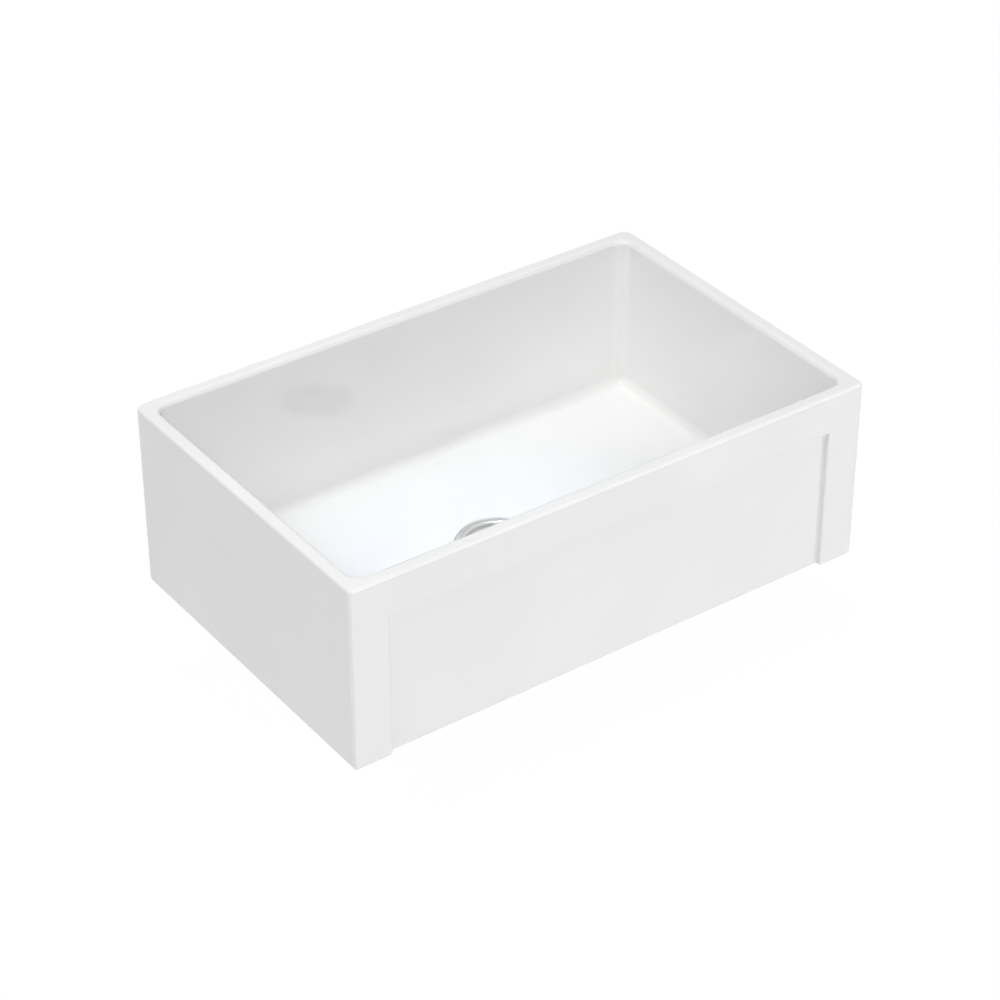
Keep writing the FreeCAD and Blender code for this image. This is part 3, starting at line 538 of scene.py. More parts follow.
FINISHES["brushed_steel"] = mix_brushed_steel()
FINISHES["polished_steel"] = mix_chrome("polished_stainless", STAINLESS, 0.10)
FINISHES["plated_brass"] = mix_chrome("chrome_plate", CHROME, 0.05)
FINISHES["cast_brass"] = mix_cast_brass()
FINISHES["zinc_steel"] = mix_zinc_steel()
print("mixed:", *FINISHES)

# %% [markdown]
# ## The soft materials
# Rubber, putty and plastic differ in the scale of what breaks up their surface: a fine dust on
# rubber, fingertip-sized dents in putty, and only a faint flow on moulded plastic.

# %% Mix rubber, putty and plastic
RUBBER = ((0.05, 0.05, 0.052, 1), (0.028, 0.028, 0.03, 1))
PUTTY = ((0.60, 0.56, 0.48, 1), (0.52, 0.47, 0.39, 1))
PLASTIC = ((0.84, 0.84, 0.82, 1), (0.80, 0.80, 0.77, 1))


def mix_soft(name, light_and_dark, roughness, grain_per_metre, depth_mm):
    """A matt material with grain of its own size."""
    soft = Finish(name)
    where = soft.place()
    bloom = soft.noise(where, 80.0, 4.0).clamped(0.35, 0.7)
    soft.paint("Base Color", soft.mix(bloom, *light_and_dark))
    soft.paint("Roughness", roughness - 0.15 * bloom)
    soft.emboss(soft.noise(where, grain_per_metre, 3.0), depth_mm)
    return soft.material


FINISHES["black_rubber"] = mix_soft("black_rubber", RUBBER, 0.75, 700.0, 0.03)
FINISHES["putty"] = mix_soft("putty", PUTTY, 0.9, 160.0, 0.25)
FINISHES["white_plastic"] = mix_soft("white_plastic", PLASTIC, 0.5, 400.0, 0.01)
print("mixed:", *FINISHES)

# %% [markdown]
# ## Making pieces
# Shapes are modelled in millimetres with bmesh operators and become pieces at the end: scaled
# to metres, faces outwards, and smooth except at real corners. Weighted normals keep the flats
# flat right up to a rounded edge, as on a glazed or a turned face.

# %% Helpers for shapes
SHARP_ANGLE = math.radians(35.0)
NEAR = 0.02  # millimetres
SAME_PLACE = 0.001  # millimetres, within which two vertices are one
CUBIC_CENTIMETRE = 1e-6
BMVert, BMEdge = bmesh.types.BMVert, bmesh.types.BMEdge
record = frame["record"]
SLOT_OF = {part["node"]: part["material_slot"] for part in record["subparts"]}
BODIES = record["behaviour"]["bodies"]
BODY_OF = {node: body for body, nodes in BODIES.items() for node in nodes}


def soften(shape, parts, radius, segments=6, affect="EDGES"):
    """Rounds edges, or the corners of a flat outline where affect is VERTICES."""
    bmesh.ops.bevel(
        shape,
        geom=list(parts),
        offset=radius,
        offset_type="OFFSET",
        segments=segments,
        profile=0.5,
        affect=affect,
        material=-1,
    )


def join_doubles(shape, verts=None):
    bmesh.ops.remove_doubles(shape, verts=verts or shape.verts, dist=SAME_PLACE)


def everything(shape):
    return [*shape.verts, *shape.edges, *shape.faces]


def only(kind, parts):
    """The vertices, or the edges, among what an operator made."""
    return [part for part in parts if isinstance(part, kind)]


def gathered(parts, kind):
    """What the parts have of a kind, such as verts or link_faces, each once and in order."""
    return list(dict.fromkeys(found for part in parts for found in getattr(part, kind)))


def near(first, second):
    return abs(first - second) < NEAR


def edges_where(shape, test):
    """Edges whose two ends both pass."""
    return [edge for edge in shape.edges if all(test(vert.co) for vert in edge.verts)]


def faces_where(shape, test):
    """Faces whose corners all pass."""
    return [face for face in shape.faces if all(test(vert.co) for vert in face.verts)]


def open_edges(shape, test):
    """Edges on the rim of an open shape, whose ends both pass."""
    return [edge for edge in edges_where(shape, test) if edge.is_boundary or edge.is_wire]


def to_piece(shape, node, manner, centre=DRAIN_AXIS):
    """Turns a shape in millimetres into the piece that stands for a node of the frame."""
    bmesh.ops.scale(shape, verts=shape.verts, vec=(MM, MM, MM))
    bmesh.ops.translate(shape, verts=shape.verts, vec=centre)
    bmesh.ops.recalc_face_normals(shape, faces=shape.faces)
    gaps = sum(not edge.is_manifold for edge in shape.edges)
    mesh = bpy.data.meshes.new(f"{node}_{manner}")
    shape.to_mesh(mesh)
    volume = shape.calc_volume() / CUBIC_CENTIMETRE
    shape.free()
    mesh.shade_smooth()
    mesh.set_sharp_from_angle(angle=SHARP_ANGLE)
    slot = SLOT_OF[node]
    mesh.materials.append(FINISHES[slot])
    piece = add_object(mesh.name, mesh)
    piece.modifiers.new("weighted_normals", "WEIGHTED_NORMAL").keep_sharp = True
    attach(piece, BODY_OF[node])
    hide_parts(node)
    print(f"{piece.name}: {len(mesh.polygons)} faces, {volume:.2f} cm3, {gaps} open edges")


# %% [markdown]
# ## The basin
# The real basin is cast in a plaster mould, and every edge is rounded before glazing. A
# subdivided cage would give soft edges too, but their radii drift along an edge. Here rounded
# rectangles are bridged into walls with equal numbers of corners, so that a bevel can run round
# each rim and keep its radius.
#
# First come the outer wall, the rim and the bowl, from four such loops. The panel is then
# pushed in between the stiles and below the rail, and it runs out through the base.

# %% Rounded rectangles
def level_rectangle(shape, width, depth, centre=(0.0, 0.0, 0.0)):
    """The four corners of a new level rectangle."""
    verts = bmesh.ops.create_grid(shape, x_segments=1, y_segments=1, size=0.5)["verts"]
    bmesh.ops.scale(shape, verts=verts, vec=(width, depth, 1.0))
    bmesh.ops.translate(shape, verts=verts, vec=centre)
    return verts


def rounded_loop(shape, low, high, height, front_radius, back_radius):
    """The edges of a level rectangle with rounded corners."""
    older = set(shape.edges)
    middle = (low + high) / 2
    verts = level_rectangle(shape, *(high - low), (*middle, height))
    front = [vert for vert in verts if vert.co.y < middle.y]
    back = [vert for vert in verts if vert.co.y > middle.y]
    soften(shape, front, front_radius, CORNER_STEPS, affect="VERTICES")
    soften(shape, back, back_radius, CORNER_STEPS, affect="VERTICES")
    made = [edge for edge in shape.edges if edge not in older]
    bmesh.ops.delete(shape, geom=gathered(made, "link_faces"), context="FACES_ONLY")
    return made


def bridge(shape, first, second):
    return bmesh.ops.bridge_loops(shape, edges=first + second)["faces"]


# %% The walls and the panel
def cut_faces(shape, faces, place, direction):
    """Cuts only these faces by a plane."""
    geom = [*gathered(faces, "verts"), *gathered(faces, "edges"), *faces]
    bmesh.ops.bisect_plane(shape, geom=geom, dist=NEAR, plane_co=place, plane_no=direction)


def on_stiles(point):
    """On the front below the rail."""
    return near(point.y, BASIN_LOW.y) and point.z < RAIL_UNDERSIDE + NEAR


def recess_panel(shape, outer_wall):
    """Sets the panel back between the stiles and below the rail, and out through the base."""
    cut_faces(shape, outer_wall, (0, 0, RAIL_UNDERSIDE), (0, 0, 1))
    for side in (-PANEL_SIDE, PANEL_SIDE):
        cut_faces(shape, faces_where(shape, on_stiles), (side, 0, 0), (1, 0, 0))
    panel = faces_where(
        shape, lambda point: on_stiles(point) and abs(point.x) < PANEL_SIDE + NEAR
    )
    pushed = bmesh.ops.extrude_discrete_faces(shape, faces=panel)["faces"]
    bmesh.ops.translate(shape, verts=gathered(pushed, "verts"), vec=(0, PANEL_RECESS, 0))
    flap = faces_where(shape, lambda point: near(point.z, BASE_EDGE_RADIUS))
    bmesh.ops.delete(shape, geom=flap, context="FACES")


def make_walls(shape):
    """The outer wall down to the base's rounding, the rim and the bowl."""
    low, high = BASIN_LOW.xy, BASIN_HIGH.xy
    rim = Vector((RIM_WIDTH, RIM_WIDTH))
    floor_low = low + rim + Vector((WALL_DRAFT, APRON_BACKING))
    floor_high = high - rim - Vector((WALL_DRAFT, WALL_DRAFT))
    corners = (FRONT_CORNER_RADIUS, BACK_CORNER_RADIUS)
    bowl_corners = (BOWL_CORNER_RADIUS, BOWL_CORNER_RADIUS)
    foot = rounded_loop(shape, low, high, BASE_EDGE_RADIUS, *corners)
    shoulder = rounded_loop(shape, low, high, BASIN_HIGH.z, *corners)
    mouth = rounded_loop(shape, low + rim, high - rim, BASIN_HIGH.z, *bowl_corners)
    floor = rounded_loop(shape, floor_low, floor_high, FLOOR_HEIGHT, *bowl_corners)
    outer_wall = bridge(shape, foot, shoulder)
    bridge(shape, shoulder, mouth)
    bridge(shape, mouth, floor)
    bmesh.ops.edgeloop_fill(shape, edges=floor)
    recess_panel(shape, outer_wall)
    bmesh.ops.recalc_face_normals(shape, faces=shape.faces)
    return shoulder, mouth, floor


def frames_panel(point, front):
    """On the corner line of a stile or of the rail, at this depth."""
    beside = abs(point.x) - PANEL_SIDE
    on_stile = near(beside, 0.0) and point.z < RAIL_UNDERSIDE + NEAR
    on_rail = near(point.z, RAIL_UNDERSIDE) and beside < NEAR
    return near(point.y, front) and (on_stile or on_rail)


def round_walls(shape, shoulder, mouth, floor):
    """Rounds the rim, the cove, and the panel's frame and corners."""
    soften(shape, shoulder, RIM_OUTER_RADIUS)
    soften(shape, mouth, RIM_INNER_RADIUS, segments=8)
    soften(shape, floor, BOWL_COVE_RADIUS, segments=10)
    for front, radius in ((BASIN_LOW.y, PANEL_EDGE_RADIUS), (PANEL_Y, PANEL_COVE_RADIUS)):
        frame_edges = edges_where(shape, lambda point: frames_panel(point, front))
        soften(shape, frame_edges, radius, segments=5)


# %% [markdown]
# The base is rounded in steps, each drawn in and down from the one above. A bevel can't do it:
# its radius is larger than the stiles' own, so its faces would cross there. The stiles' corners
# are drawn in whole instead, along the line between their two sides.

# %% The rounded base
BASE_STEPS = 8


def inward(point):
    """Which way the base's rounding draws a point of the outline."""
    if abs(point.x) < BASIN_HIGH.x - STILE_WIDTH / 2:
        return Vector((math.copysign(1.0, point.x), 1.0, 0.0))
    radius = FRONT_CORNER_RADIUS if point.y < 0 else BACK_CORNER_RADIUS
    centre = BASIN_HIGH.xy - Vector((radius, radius))
    turn = Vector((math.copysign(centre.x, point.x), math.copysign(centre.y, point.y)))
    return (turn - point.xy).normalized().to_3d()


def round_base(shape):
    ring = open_edges(shape, lambda point: near(point.z, BASE_EDGE_RADIUS))
    quarter = math.pi / 2 / BASE_STEPS
    for step in range(BASE_STEPS):
        ring = only(BMEdge, bmesh.ops.extrude_edge_only(shape, edges=ring)["geom"])
        drawn_in = BASE_EDGE_RADIUS * (math.cos(quarter * step) - math.cos(quarter * (step + 1)))
        down = BASE_EDGE_RADIUS * (math.sin(quarter * (step + 1)) - math.sin(quarter * step))
        for vert in gathered(ring, "verts"):
            vert.co += drawn_in * inward(vert.co) - Vector((0.0, 0.0, down))


# %% [markdown]
# Water has to find the drain, so the floor falls 2.5 mm to it. A cone would show a crease where
# it starts, so the fall is a smooth dish, spun about the drain's axis together with the seat
# that takes the strainer's flange. Flat faces then fill the floor round the dish, and below it
# the underside, which is raised inside a foot ring so that the floor is thin at the drain.

# %% Sizes of the floor and the foot, in millimetres
FLOOR_AT_DRAIN = 34.0
SEAT_DEPTH = 3.0
SEAT_RADIUS = 56.6
SEAT_EDGE = 1.2
OUTLET_RADIUS = 46.0
DISH_RADIUS = 194.5
DISH_RINGS = 12
ROUND_STEPS = 96
FOOT_WIDTH = 42.0
FOOT_HEIGHT = 12.0
FOOT_CORNER_RADIUS = 20.0
FOOT_EDGE_RADIUS = 4.0
FOOT_SPREAD = (1.03, 1.05, 1.0)  # level foot round the field's own edge
print("floor at the drain:", round(FLOOR_AT_DRAIN - FOOT_HEIGHT, 1), "mm thick")

# %% The floor and the foot
def spin_round(shape, outline, axis=(0.0, 0.0), steps=ROUND_STEPS):
    """Spins an outline once round an upright axis."""
    bmesh.ops.spin(
        shape,
        geom=outline,
        cent=(*axis, 0.0),
        axis=(0.0, 0.0, 1.0),
        angle=math.tau,
        steps=steps,
        use_merge=True,
    )


def draw_line(shape, points, closed=False):
    """Vertices joined in a line, from (radius, height) pairs."""
    verts = [bmesh.ops.create_vert(shape, co=(x, 0.0, z))["vert"][0] for x, z in points]
    ends = zip(verts, verts[1:] + verts[:1] if closed else verts[1:])
    return verts, [shape.edges.new(pair) for pair in ends]


def dish_point(share):
    """A point of the floor's fall, from the seat's edge at 0 to level floor at 1."""
    start = SEAT_RADIUS + SEAT_EDGE
    smooth = share * share * (3.0 - 2.0 * share)
    return (
        start + share * (DISH_RADIUS - start),
        FLOOR_AT_DRAIN + smooth * (FLOOR_HEIGHT - FLOOR_AT_DRAIN),
    )


def make_dish(shape):
    """The fall, the flange's seat and the outlet hole."""
    seat = FLOOR_AT_DRAIN - SEAT_DEPTH
    points = [
        (OUTLET_RADIUS, FOOT_HEIGHT),
        (OUTLET_RADIUS, seat),
        (SEAT_RADIUS, seat),
        (SEAT_RADIUS, FLOOR_AT_DRAIN - SEAT_EDGE),
    ]
    points += [dish_point(ring / DISH_RINGS) for ring in range(DISH_RINGS + 1)]
    verts, edges = draw_line(shape, points)
    bmesh.ops.translate(shape, verts=verts, vec=(0.0, DRAIN_SETBACK, 0.0))
    spin_round(shape, [*verts, *edges], (0.0, DRAIN_SETBACK))


def make_underside(shape):
    """The raised field inside the foot, its rounded edge, and the level foot beside it."""
    width = Vector((FOOT_WIDTH, FOOT_WIDTH))
    low = BASIN_LOW.xy + width + Vector((0.0, PANEL_RECESS))
    high = BASIN_HIGH.xy - width
    corners = (FOOT_CORNER_RADIUS, FOOT_CORNER_RADIUS)
    field = rounded_loop(shape, low, high, FOOT_HEIGHT, *corners)
    edge = rounded_loop(shape, low, high, 0.0, *corners)
    bridge(shape, field, edge)
    outer = only(BMVert, bmesh.ops.extrude_edge_only(shape, edges=edge)["geom"])
    middle = Matrix.Translation(-((low + high) / 2).to_3d())
    bmesh.ops.scale(shape, verts=outer, vec=FOOT_SPREAD, space=middle)
    soften(shape, edge, FOOT_EDGE_RADIUS, segments=5)


def close_level(shape, height):
    """Fills the level surface between the two rims that are open at a height."""
    rims = open_edges(shape, lambda point: near(point.z, height))
    bmesh.ops.triangle_fill(shape, edges=rims, use_beauty=True)


def make_basin():
    shape = bmesh.new()
    round_walls(shape, *make_walls(shape))
    round_base(shape)
    lid = faces_where(shape, lambda point: near(point.z, FLOOR_HEIGHT))
    bmesh.ops.delete(shape, geom=lid, context="FACES_ONLY")
    make_dish(shape)
    make_underside(shape)
    join_doubles(shape)
    for height in (0.0, FOOT_HEIGHT, FLOOR_HEIGHT):
        close_level(shape, height)
    to_piece(shape, "basin", "glazed", centre=(0.0, 0.0, 0.0))


make_basin()

# %% [markdown]
# ## Turned parts
# Most of the drain is turned on a lathe or spun from sheet, so each part is one half outline,
# spun about the drain's axis. A point of an outline is its radius, its height and the radius
# that its corner is rounded to. The corners are rounded before the outline is spun, because
# rounding a few points is much lighter than bevelling whole rings of edges. The frame's own
# copies have about sixty sides, which would show on a bright flange.

# %% Helpers for turned parts
BOTTOM, TOP = 0, 1
FIT_GAP = 0.1  # between a thread and its nut, in millimetres


def height_of(node, end):
    """The lowest or highest point of a node of the frame, in millimetres."""
    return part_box(node)[end].z / MM


def radius_of(node):
    """Half the width of a round node of the frame, in millimetres."""
    low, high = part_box(node)
    return (high.x - low.x) / 2 / MM


def on_axis(point):
    return abs(point.x) < NEAR


def turned(outline, segments=4, steps=ROUND_STEPS):
    """Spins a closed outline of (radius, height, corner radius) points."""
    shape = bmesh.new()
    verts, _ = draw_line(shape, [point[:2] for point in outline], closed=True)
    shape.faces.new(verts)
    for vert, (_, _, rounding) in zip(verts, outline):
        if rounding > 0.0:
            soften(shape, [vert], rounding, segments, affect="VERTICES")
    bmesh.ops.delete(shape, geom=list(shape.faces), context="FACES_ONLY")
    bmesh.ops.delete(shape, geom=edges_where(shape, on_axis), context="EDGES")
    spin_round(shape, everything(shape), steps=steps)
    join_doubles(shape)
    return shape


def make_ring(node, manner, bore, rounding):
    """A ring with rounded edges, as wide and high as its node."""
    low, high, outer = height_of(node, BOTTOM), height_of(node, TOP), radius_of(node)
    corners = [(bore, low), (outer, low), (outer, high), (bore, high)]
    to_piece(turned([(*corner, rounding) for corner in corners]), node, manner)


print("drain: down to", round(height_of("tailpiece", BOTTOM), 1), "mm")

# %% [markdown]
# ## The strainer
# The strainer body is drawn from one sheet of stainless steel: a flat flange with a fine bead,
# a cone down to the ledge that carries the basket, and a deep cup. The cup is threaded outside,
# because a ring nut on it clamps the flange to the basin. The thread is a ridge wound round the
# wall, which is cut down to its root.

# %% Winding a thread
INSIDE_WALL = 0.15  # how deep the ridge's foot sits in the wall, in millimetres
RIDGE_FOOT = 0.46  # half widths of the ridge, as shares of the pitch
RIDGE_CREST = 0.12


def wind_thread(shape, radius, low, high, pitch, depth, steps=48):
    """Winds a thread's ridge round an upright wall: one turn, and then copies of it."""
    older = set(shape.verts)
    root = radius - depth - INSIDE_WALL
    ridge = [(root, -RIDGE_FOOT), (radius, -RIDGE_CREST), (radius, RIDGE_CREST), (root, RIDGE_FOOT)]
    outline = [(reach, low + pitch / 2 + share * pitch) for reach, share in ridge]
    verts, edges = draw_line(shape, outline, closed=True)
    bmesh.ops.spin(
        shape,
        geom=[*verts, *edges],
        axis=(0.0, 0.0, 1.0),
        dvec=(0.0, 0.0, pitch / steps),
        angle=math.tau,
        steps=steps,
    )
    verts = [vert for vert in shape.verts if vert not in older]
    faces = gathered(verts, "link_faces")
    for lap in range(1, int((high - low) / pitch) - 1):
        copy = bmesh.ops.duplicate(shape, geom=[*verts, *faces])["geom"]
        bmesh.ops.translate(shape, verts=only(BMVert, copy), vec=(0.0, 0.0, lap * pitch))
    join_doubles(shape, [vert for vert in shape.verts if vert not in older])
    ends = [edge for edge in shape.edges if edge.is_boundary]
    bmesh.ops.holes_fill(shape, edges=ends, sides=len(ridge))


# %% The strainer body
FLANGE_SEAT = height_of("putty_ring", TOP)
FLANGE_RADIUS = 55.0
FLANGE_SHEET = 1.6
BEAD_RADIUS = 48.4
BEAD_HALF_WIDTH = 0.9
BEAD_HEIGHT = 0.5
MOUTH_RADIUS = 46.2
LEDGE_RADIUS = 43.2
LEDGE = FLANGE_SEAT - 2.8
CUP_RADIUS = 42.8
CUP_WALL = 1.4
CUP_INSIDE = CUP_RADIUS - CUP_WALL
CUP_BOTTOM = height_of("strainer_body", BOTTOM)
CUP_CORNER = 7.0
CUP_THREAD = {"pitch": 1.8, "depth": 0.55}
SPUD_RADIUS = 23.5


def make_strainer_body():
    top = FLANGE_SEAT + FLANGE_SHEET
    root = CUP_RADIUS - CUP_THREAD["depth"]
    hole = SPUD_RADIUS + FIT_GAP
    shape = turned(
        [
            (FLANGE_RADIUS, FLANGE_SEAT, 0.3),
            (FLANGE_RADIUS, top, 1.1),
            (BEAD_RADIUS + BEAD_HALF_WIDTH, top, 0.3),
            (BEAD_RADIUS, top + BEAD_HEIGHT, 0.45),
            (BEAD_RADIUS - BEAD_HALF_WIDTH, top, 0.3),
            (MOUTH_RADIUS, top, 0.7),
            (LEDGE_RADIUS, LEDGE, 0.8),
            (CUP_INSIDE, LEDGE, 0.7),
            (CUP_INSIDE, CUP_BOTTOM + CUP_WALL, CUP_CORNER - CUP_WALL),
            (hole, CUP_BOTTOM + CUP_WALL, 0.2),
            (hole, CUP_BOTTOM, 0.2),
            (root, CUP_BOTTOM, CUP_CORNER),
            (root, LEDGE - CUP_WALL, 0.0),
            (LEDGE_RADIUS + CUP_WALL, LEDGE - CUP_WALL, 0.6),
            (MOUTH_RADIUS, FLANGE_SEAT, 0.8),
        ],
        segments=5,
        steps=128,
    )
    wind_thread(shape, CUP_RADIUS, CUP_BOTTOM + CUP_CORNER, FOOT_HEIGHT, steps=72, **CUP_THREAD)
    to_piece(shape, "strainer_body", "drawn")


make_strainer_body()

# %% [markdown]
# The crumb basket is pressed from thin sheet. Its slots are punched while the sheet is flat, and
# the same order works here: a flat strip with its slots cut out is far simpler to fill with
# faces than a cone is. The strip is then divided into narrow columns and rolled up, its edges
# are drawn out into the rim and in to the floor, and a solidify gives the sheet its thickness.

# %% Sizes of the basket, in millimetres
BASKET_SHEET = 0.8
BASKET_RIM = height_of("basket_cup", TOP) - BASKET_SHEET  # the rim's underside
BASKET_FLOOR = height_of("basket_cup", BOTTOM)
BASKET_RIM_RADIUS = radius_of("basket_cup")
BASKET_MOUTH_RADIUS = 40.2
BASKET_FLOOR_RADIUS = 34.0
BASKET_BEND = 1.6
BUSH_HOLE_RADIUS = 7.1
WALL_SLOTS = 24
WALL_SLOT_WIDTH = 3.2
WALL_SLOT_HEIGHT = 15.0
WALL_SLOT_TOP = BASKET_RIM - 6.0
FLOOR_SLOTS = 10
FLOOR_SLOT_WIDTH = 3.6
FLOOR_SLOT_LENGTH = 13.0
FLOOR_SLOT_START = 15.5
COLUMNS = 96
CUT_NEAR = 1e-4  # a vertex this near to a column's cut counts as on it
print("basket:", round(2 * BASKET_RIM_RADIUS, 1), "mm across its rim")

# %% Punch the wall and roll it
def punch_slot(shape, centre, width, length, turn=0.0):
    """The outline of a slot with round ends, its length along Y before it is turned."""
    older = set(shape.verts)
    corners = level_rectangle(shape, width, length)
    soften(shape, corners, width / 2 - NEAR, segments=5, affect="VERTICES")
    made = [vert for vert in shape.verts if vert not in older]
    bmesh.ops.rotate(shape, verts=made, matrix=Matrix.Rotation(turn, 3, "Z"))
    bmesh.ops.translate(shape, verts=made, vec=centre)
    bmesh.ops.delete(shape, geom=gathered(made, "link_faces"), context="FACES_ONLY")


def wall_radius(height):
    """The outside of the basket's tapering wall."""
    share = (height - BASKET_FLOOR) / (BASKET_RIM - BASKET_FLOOR)
    return BASKET_FLOOR_RADIUS + share * (BASKET_MOUTH_RADIUS - BASKET_FLOOR_RADIUS)


def roll_wall(shape):
    """A flat strip with slots, its X as millimetres round the wall, rolled into a cone."""
    low, high = BASKET_FLOOR + BASKET_BEND, BASKET_RIM - BASKET_BEND
    middle_radius = wall_radius((low + high) / 2)
    length = math.tau * middle_radius
    level_rectangle(shape, length, high - low, (length / 2, (low + high) / 2, 0.0))
    bmesh.ops.delete(shape, geom=list(shape.faces), context="FACES_ONLY")
    slot_middle = WALL_SLOT_TOP - WALL_SLOT_HEIGHT / 2
    for slot in range(WALL_SLOTS):
        place = ((slot + 0.5) * length / WALL_SLOTS, slot_middle, 0.0)
        punch_slot(shape, place, WALL_SLOT_WIDTH, WALL_SLOT_HEIGHT)
    bmesh.ops.triangle_fill(shape, edges=shape.edges, use_beauty=True)
    for column in range(1, COLUMNS):
        place = (column * length / COLUMNS, 0.0, 0.0)
        bmesh.ops.bisect_plane(
            shape, geom=everything(shape), dist=CUT_NEAR, plane_co=place, plane_no=(1, 0, 0)
        )
    for vert in shape.verts:
        turn, height = vert.co.x / middle_radius, vert.co.y
        vert.co = Matrix.Rotation(turn, 3, "Z") @ Vector((wall_radius(height), 0.0, height))
    join_doubles(shape)


# %% The crumb basket
def draw_out(shape, ring, radius, height):
    """Draws a level ring of edges out or in to a new radius and height."""
    made = bmesh.ops.extrude_edge_only(shape, edges=ring)["geom"]
    for vert in only(BMVert, made):
        vert.co.xy *= radius / vert.co.xy.length
        vert.co.z = height
    return only(BMEdge, made)


def bend_in(shape, ring, start, corner, end, steps=4):
    """Draws a ring round a bend: a curve from start by a corner to end, as (radius, height)."""
    start, corner, end = Vector(start), Vector(corner), Vector(end)
    for step in range(1, steps + 1):
        share = step / steps
        point = start.lerp(corner, share).lerp(corner.lerp(end, share), share)
        ring = draw_out(shape, ring, *point)
    return ring


def make_basket_cup():
    shape = bmesh.new()
    roll_wall(shape)
    top = BASKET_RIM - BASKET_BEND
    rim = open_edges(shape, lambda point: near(point.z, top))
    corner = (BASKET_MOUTH_RADIUS, BASKET_RIM)
    end = (BASKET_MOUTH_RADIUS + BASKET_BEND / 2, BASKET_RIM)
    rim = bend_in(shape, rim, (wall_radius(top), top), corner, end)
    draw_out(shape, rim, BASKET_RIM_RADIUS, BASKET_RIM)
    low = BASKET_FLOOR + BASKET_BEND
    floor = open_edges(shape, lambda point: near(point.z, low))
    corner = (BASKET_FLOOR_RADIUS, BASKET_FLOOR)
    end = (BASKET_FLOOR_RADIUS - BASKET_BEND, BASKET_FLOOR)
    bend_in(shape, floor, (wall_radius(low), low), corner, end)
    hole = bmesh.ops.create_circle(shape, radius=BUSH_HOLE_RADIUS, segments=48)
    bmesh.ops.translate(shape, verts=hole["verts"], vec=(0.0, 0.0, BASKET_FLOOR))
    reach = FLOOR_SLOT_START + FLOOR_SLOT_LENGTH / 2
    for slot in range(FLOOR_SLOTS):
        angle = math.tau * slot / FLOOR_SLOTS
        place = Matrix.Rotation(angle, 3, "Z") @ Vector((0.0, reach, BASKET_FLOOR))
        punch_slot(shape, place, FLOOR_SLOT_WIDTH, FLOOR_SLOT_LENGTH, angle)
    close_level(shape, BASKET_FLOOR)
    bmesh.ops.recalc_face_normals(shape, faces=shape.faces)
    bmesh.ops.solidify(shape, geom=shape.faces, thickness=-BASKET_SHEET)
    to_piece(shape, "basket_cup", "pressed")


make_basket_cup()

# %% [markdown]
# ## The outlet
# The spud is turned from brass and brazed through the cup's floor. Its rim is the stopper's
# seat, and a hub on four arms across the bore guides the stopper's stem. The arms are cast with
# it, so they are rounded bars that run into the wall and the hub.

# %% The outlet spud
SPUD_BORE = 19.5
SPUD_FLANGE_RADIUS = 27.0
SPUD_SEAT = height_of("outlet_spud", TOP)
SPUD_END = height_of("outlet_spud", BOTTOM)
SPUD_FLANGE_LOW = SPUD_SEAT - 2.0
SPUD_THREAD_LOW = SPUD_END + 0.5
SPUD_THREAD_TOP = CUP_BOTTOM - 4.0
SPUD_THREAD = {"pitch": 1.6, "depth": 0.5}
HUB_RADIUS = 7.0
HUB_BORE = 4.0
HUB_TOP = SPUD_SEAT - 6.0
ARM_START = HUB_BORE + 1.0
ARM_END = (SPUD_BORE + SPUD_RADIUS) / 2
ARM_SIZE = 4.0
ARM_ROUNDING = 0.8
ARMS = 4
PARALLEL = 0.9  # an edge runs along a direction where their dot product is larger


def runs_along(edge, direction):
    first, second = edge.verts
    return abs((second.co - first.co).normalized().dot(direction)) > PARALLEL


def add_arm(shape, turn):
    """A rounded bar from the hub into the spud's wall."""
    middle = ((ARM_START + ARM_END) / 2, 0.0, HUB_TOP - ARM_SIZE / 2)
    verts = bmesh.ops.create_cube(shape, size=1.0)["verts"]
    bmesh.ops.scale(shape, verts=verts, vec=(ARM_END - ARM_START, ARM_SIZE, ARM_SIZE))
    bmesh.ops.translate(shape, verts=verts, vec=middle)
    rotation = Matrix.Rotation(turn, 3, "Z")
    bmesh.ops.rotate(shape, verts=verts, matrix=rotation)
    along = rotation @ Vector((1.0, 0.0, 0.0))
    long_edges = [edge for edge in gathered(verts, "link_edges") if runs_along(edge, along)]
    soften(shape, long_edges, ARM_ROUNDING, segments=3)


def make_outlet_spud():
    root = SPUD_RADIUS - SPUD_THREAD["depth"]
    shape = turned(
        [
            (SPUD_BORE, SPUD_SEAT, 0.8),
            (SPUD_FLANGE_RADIUS, SPUD_SEAT, 0.5),
            (SPUD_FLANGE_RADIUS, SPUD_FLANGE_LOW, 0.2),
            (SPUD_RADIUS, SPUD_FLANGE_LOW, 0.0),
            (SPUD_RADIUS, SPUD_THREAD_TOP, 0.0),
            (root, SPUD_THREAD_TOP, 0.0),
            (root, SPUD_END, 0.3),
            (SPUD_BORE, SPUD_END, 0.3),
        ]
    )
    wind_thread(shape, SPUD_RADIUS, SPUD_THREAD_LOW, SPUD_THREAD_TOP, **SPUD_THREAD)
    hub = [(HUB_BORE, HUB_TOP), (HUB_RADIUS, HUB_TOP)]
    hub += [(radius, HUB_TOP - ARM_SIZE) for radius, _ in reversed(hub)]
    verts, edges = draw_line(shape, hub, closed=True)
    spin_round(shape, [*verts, *edges], steps=48)
    for arm in range(ARMS):
        add_arm(shape, math.tau * arm / ARMS)
    to_piece(shape, "outlet_spud", "cast")


make_outlet_spud()

# %% [markdown]
# Below the basin a soft washer, a steel ring and the locknut squeeze the strainer down. Four
# jam screws through the locknut's lugs do the pressing, because nobody can turn a nut this wide
# hard enough under a sink.

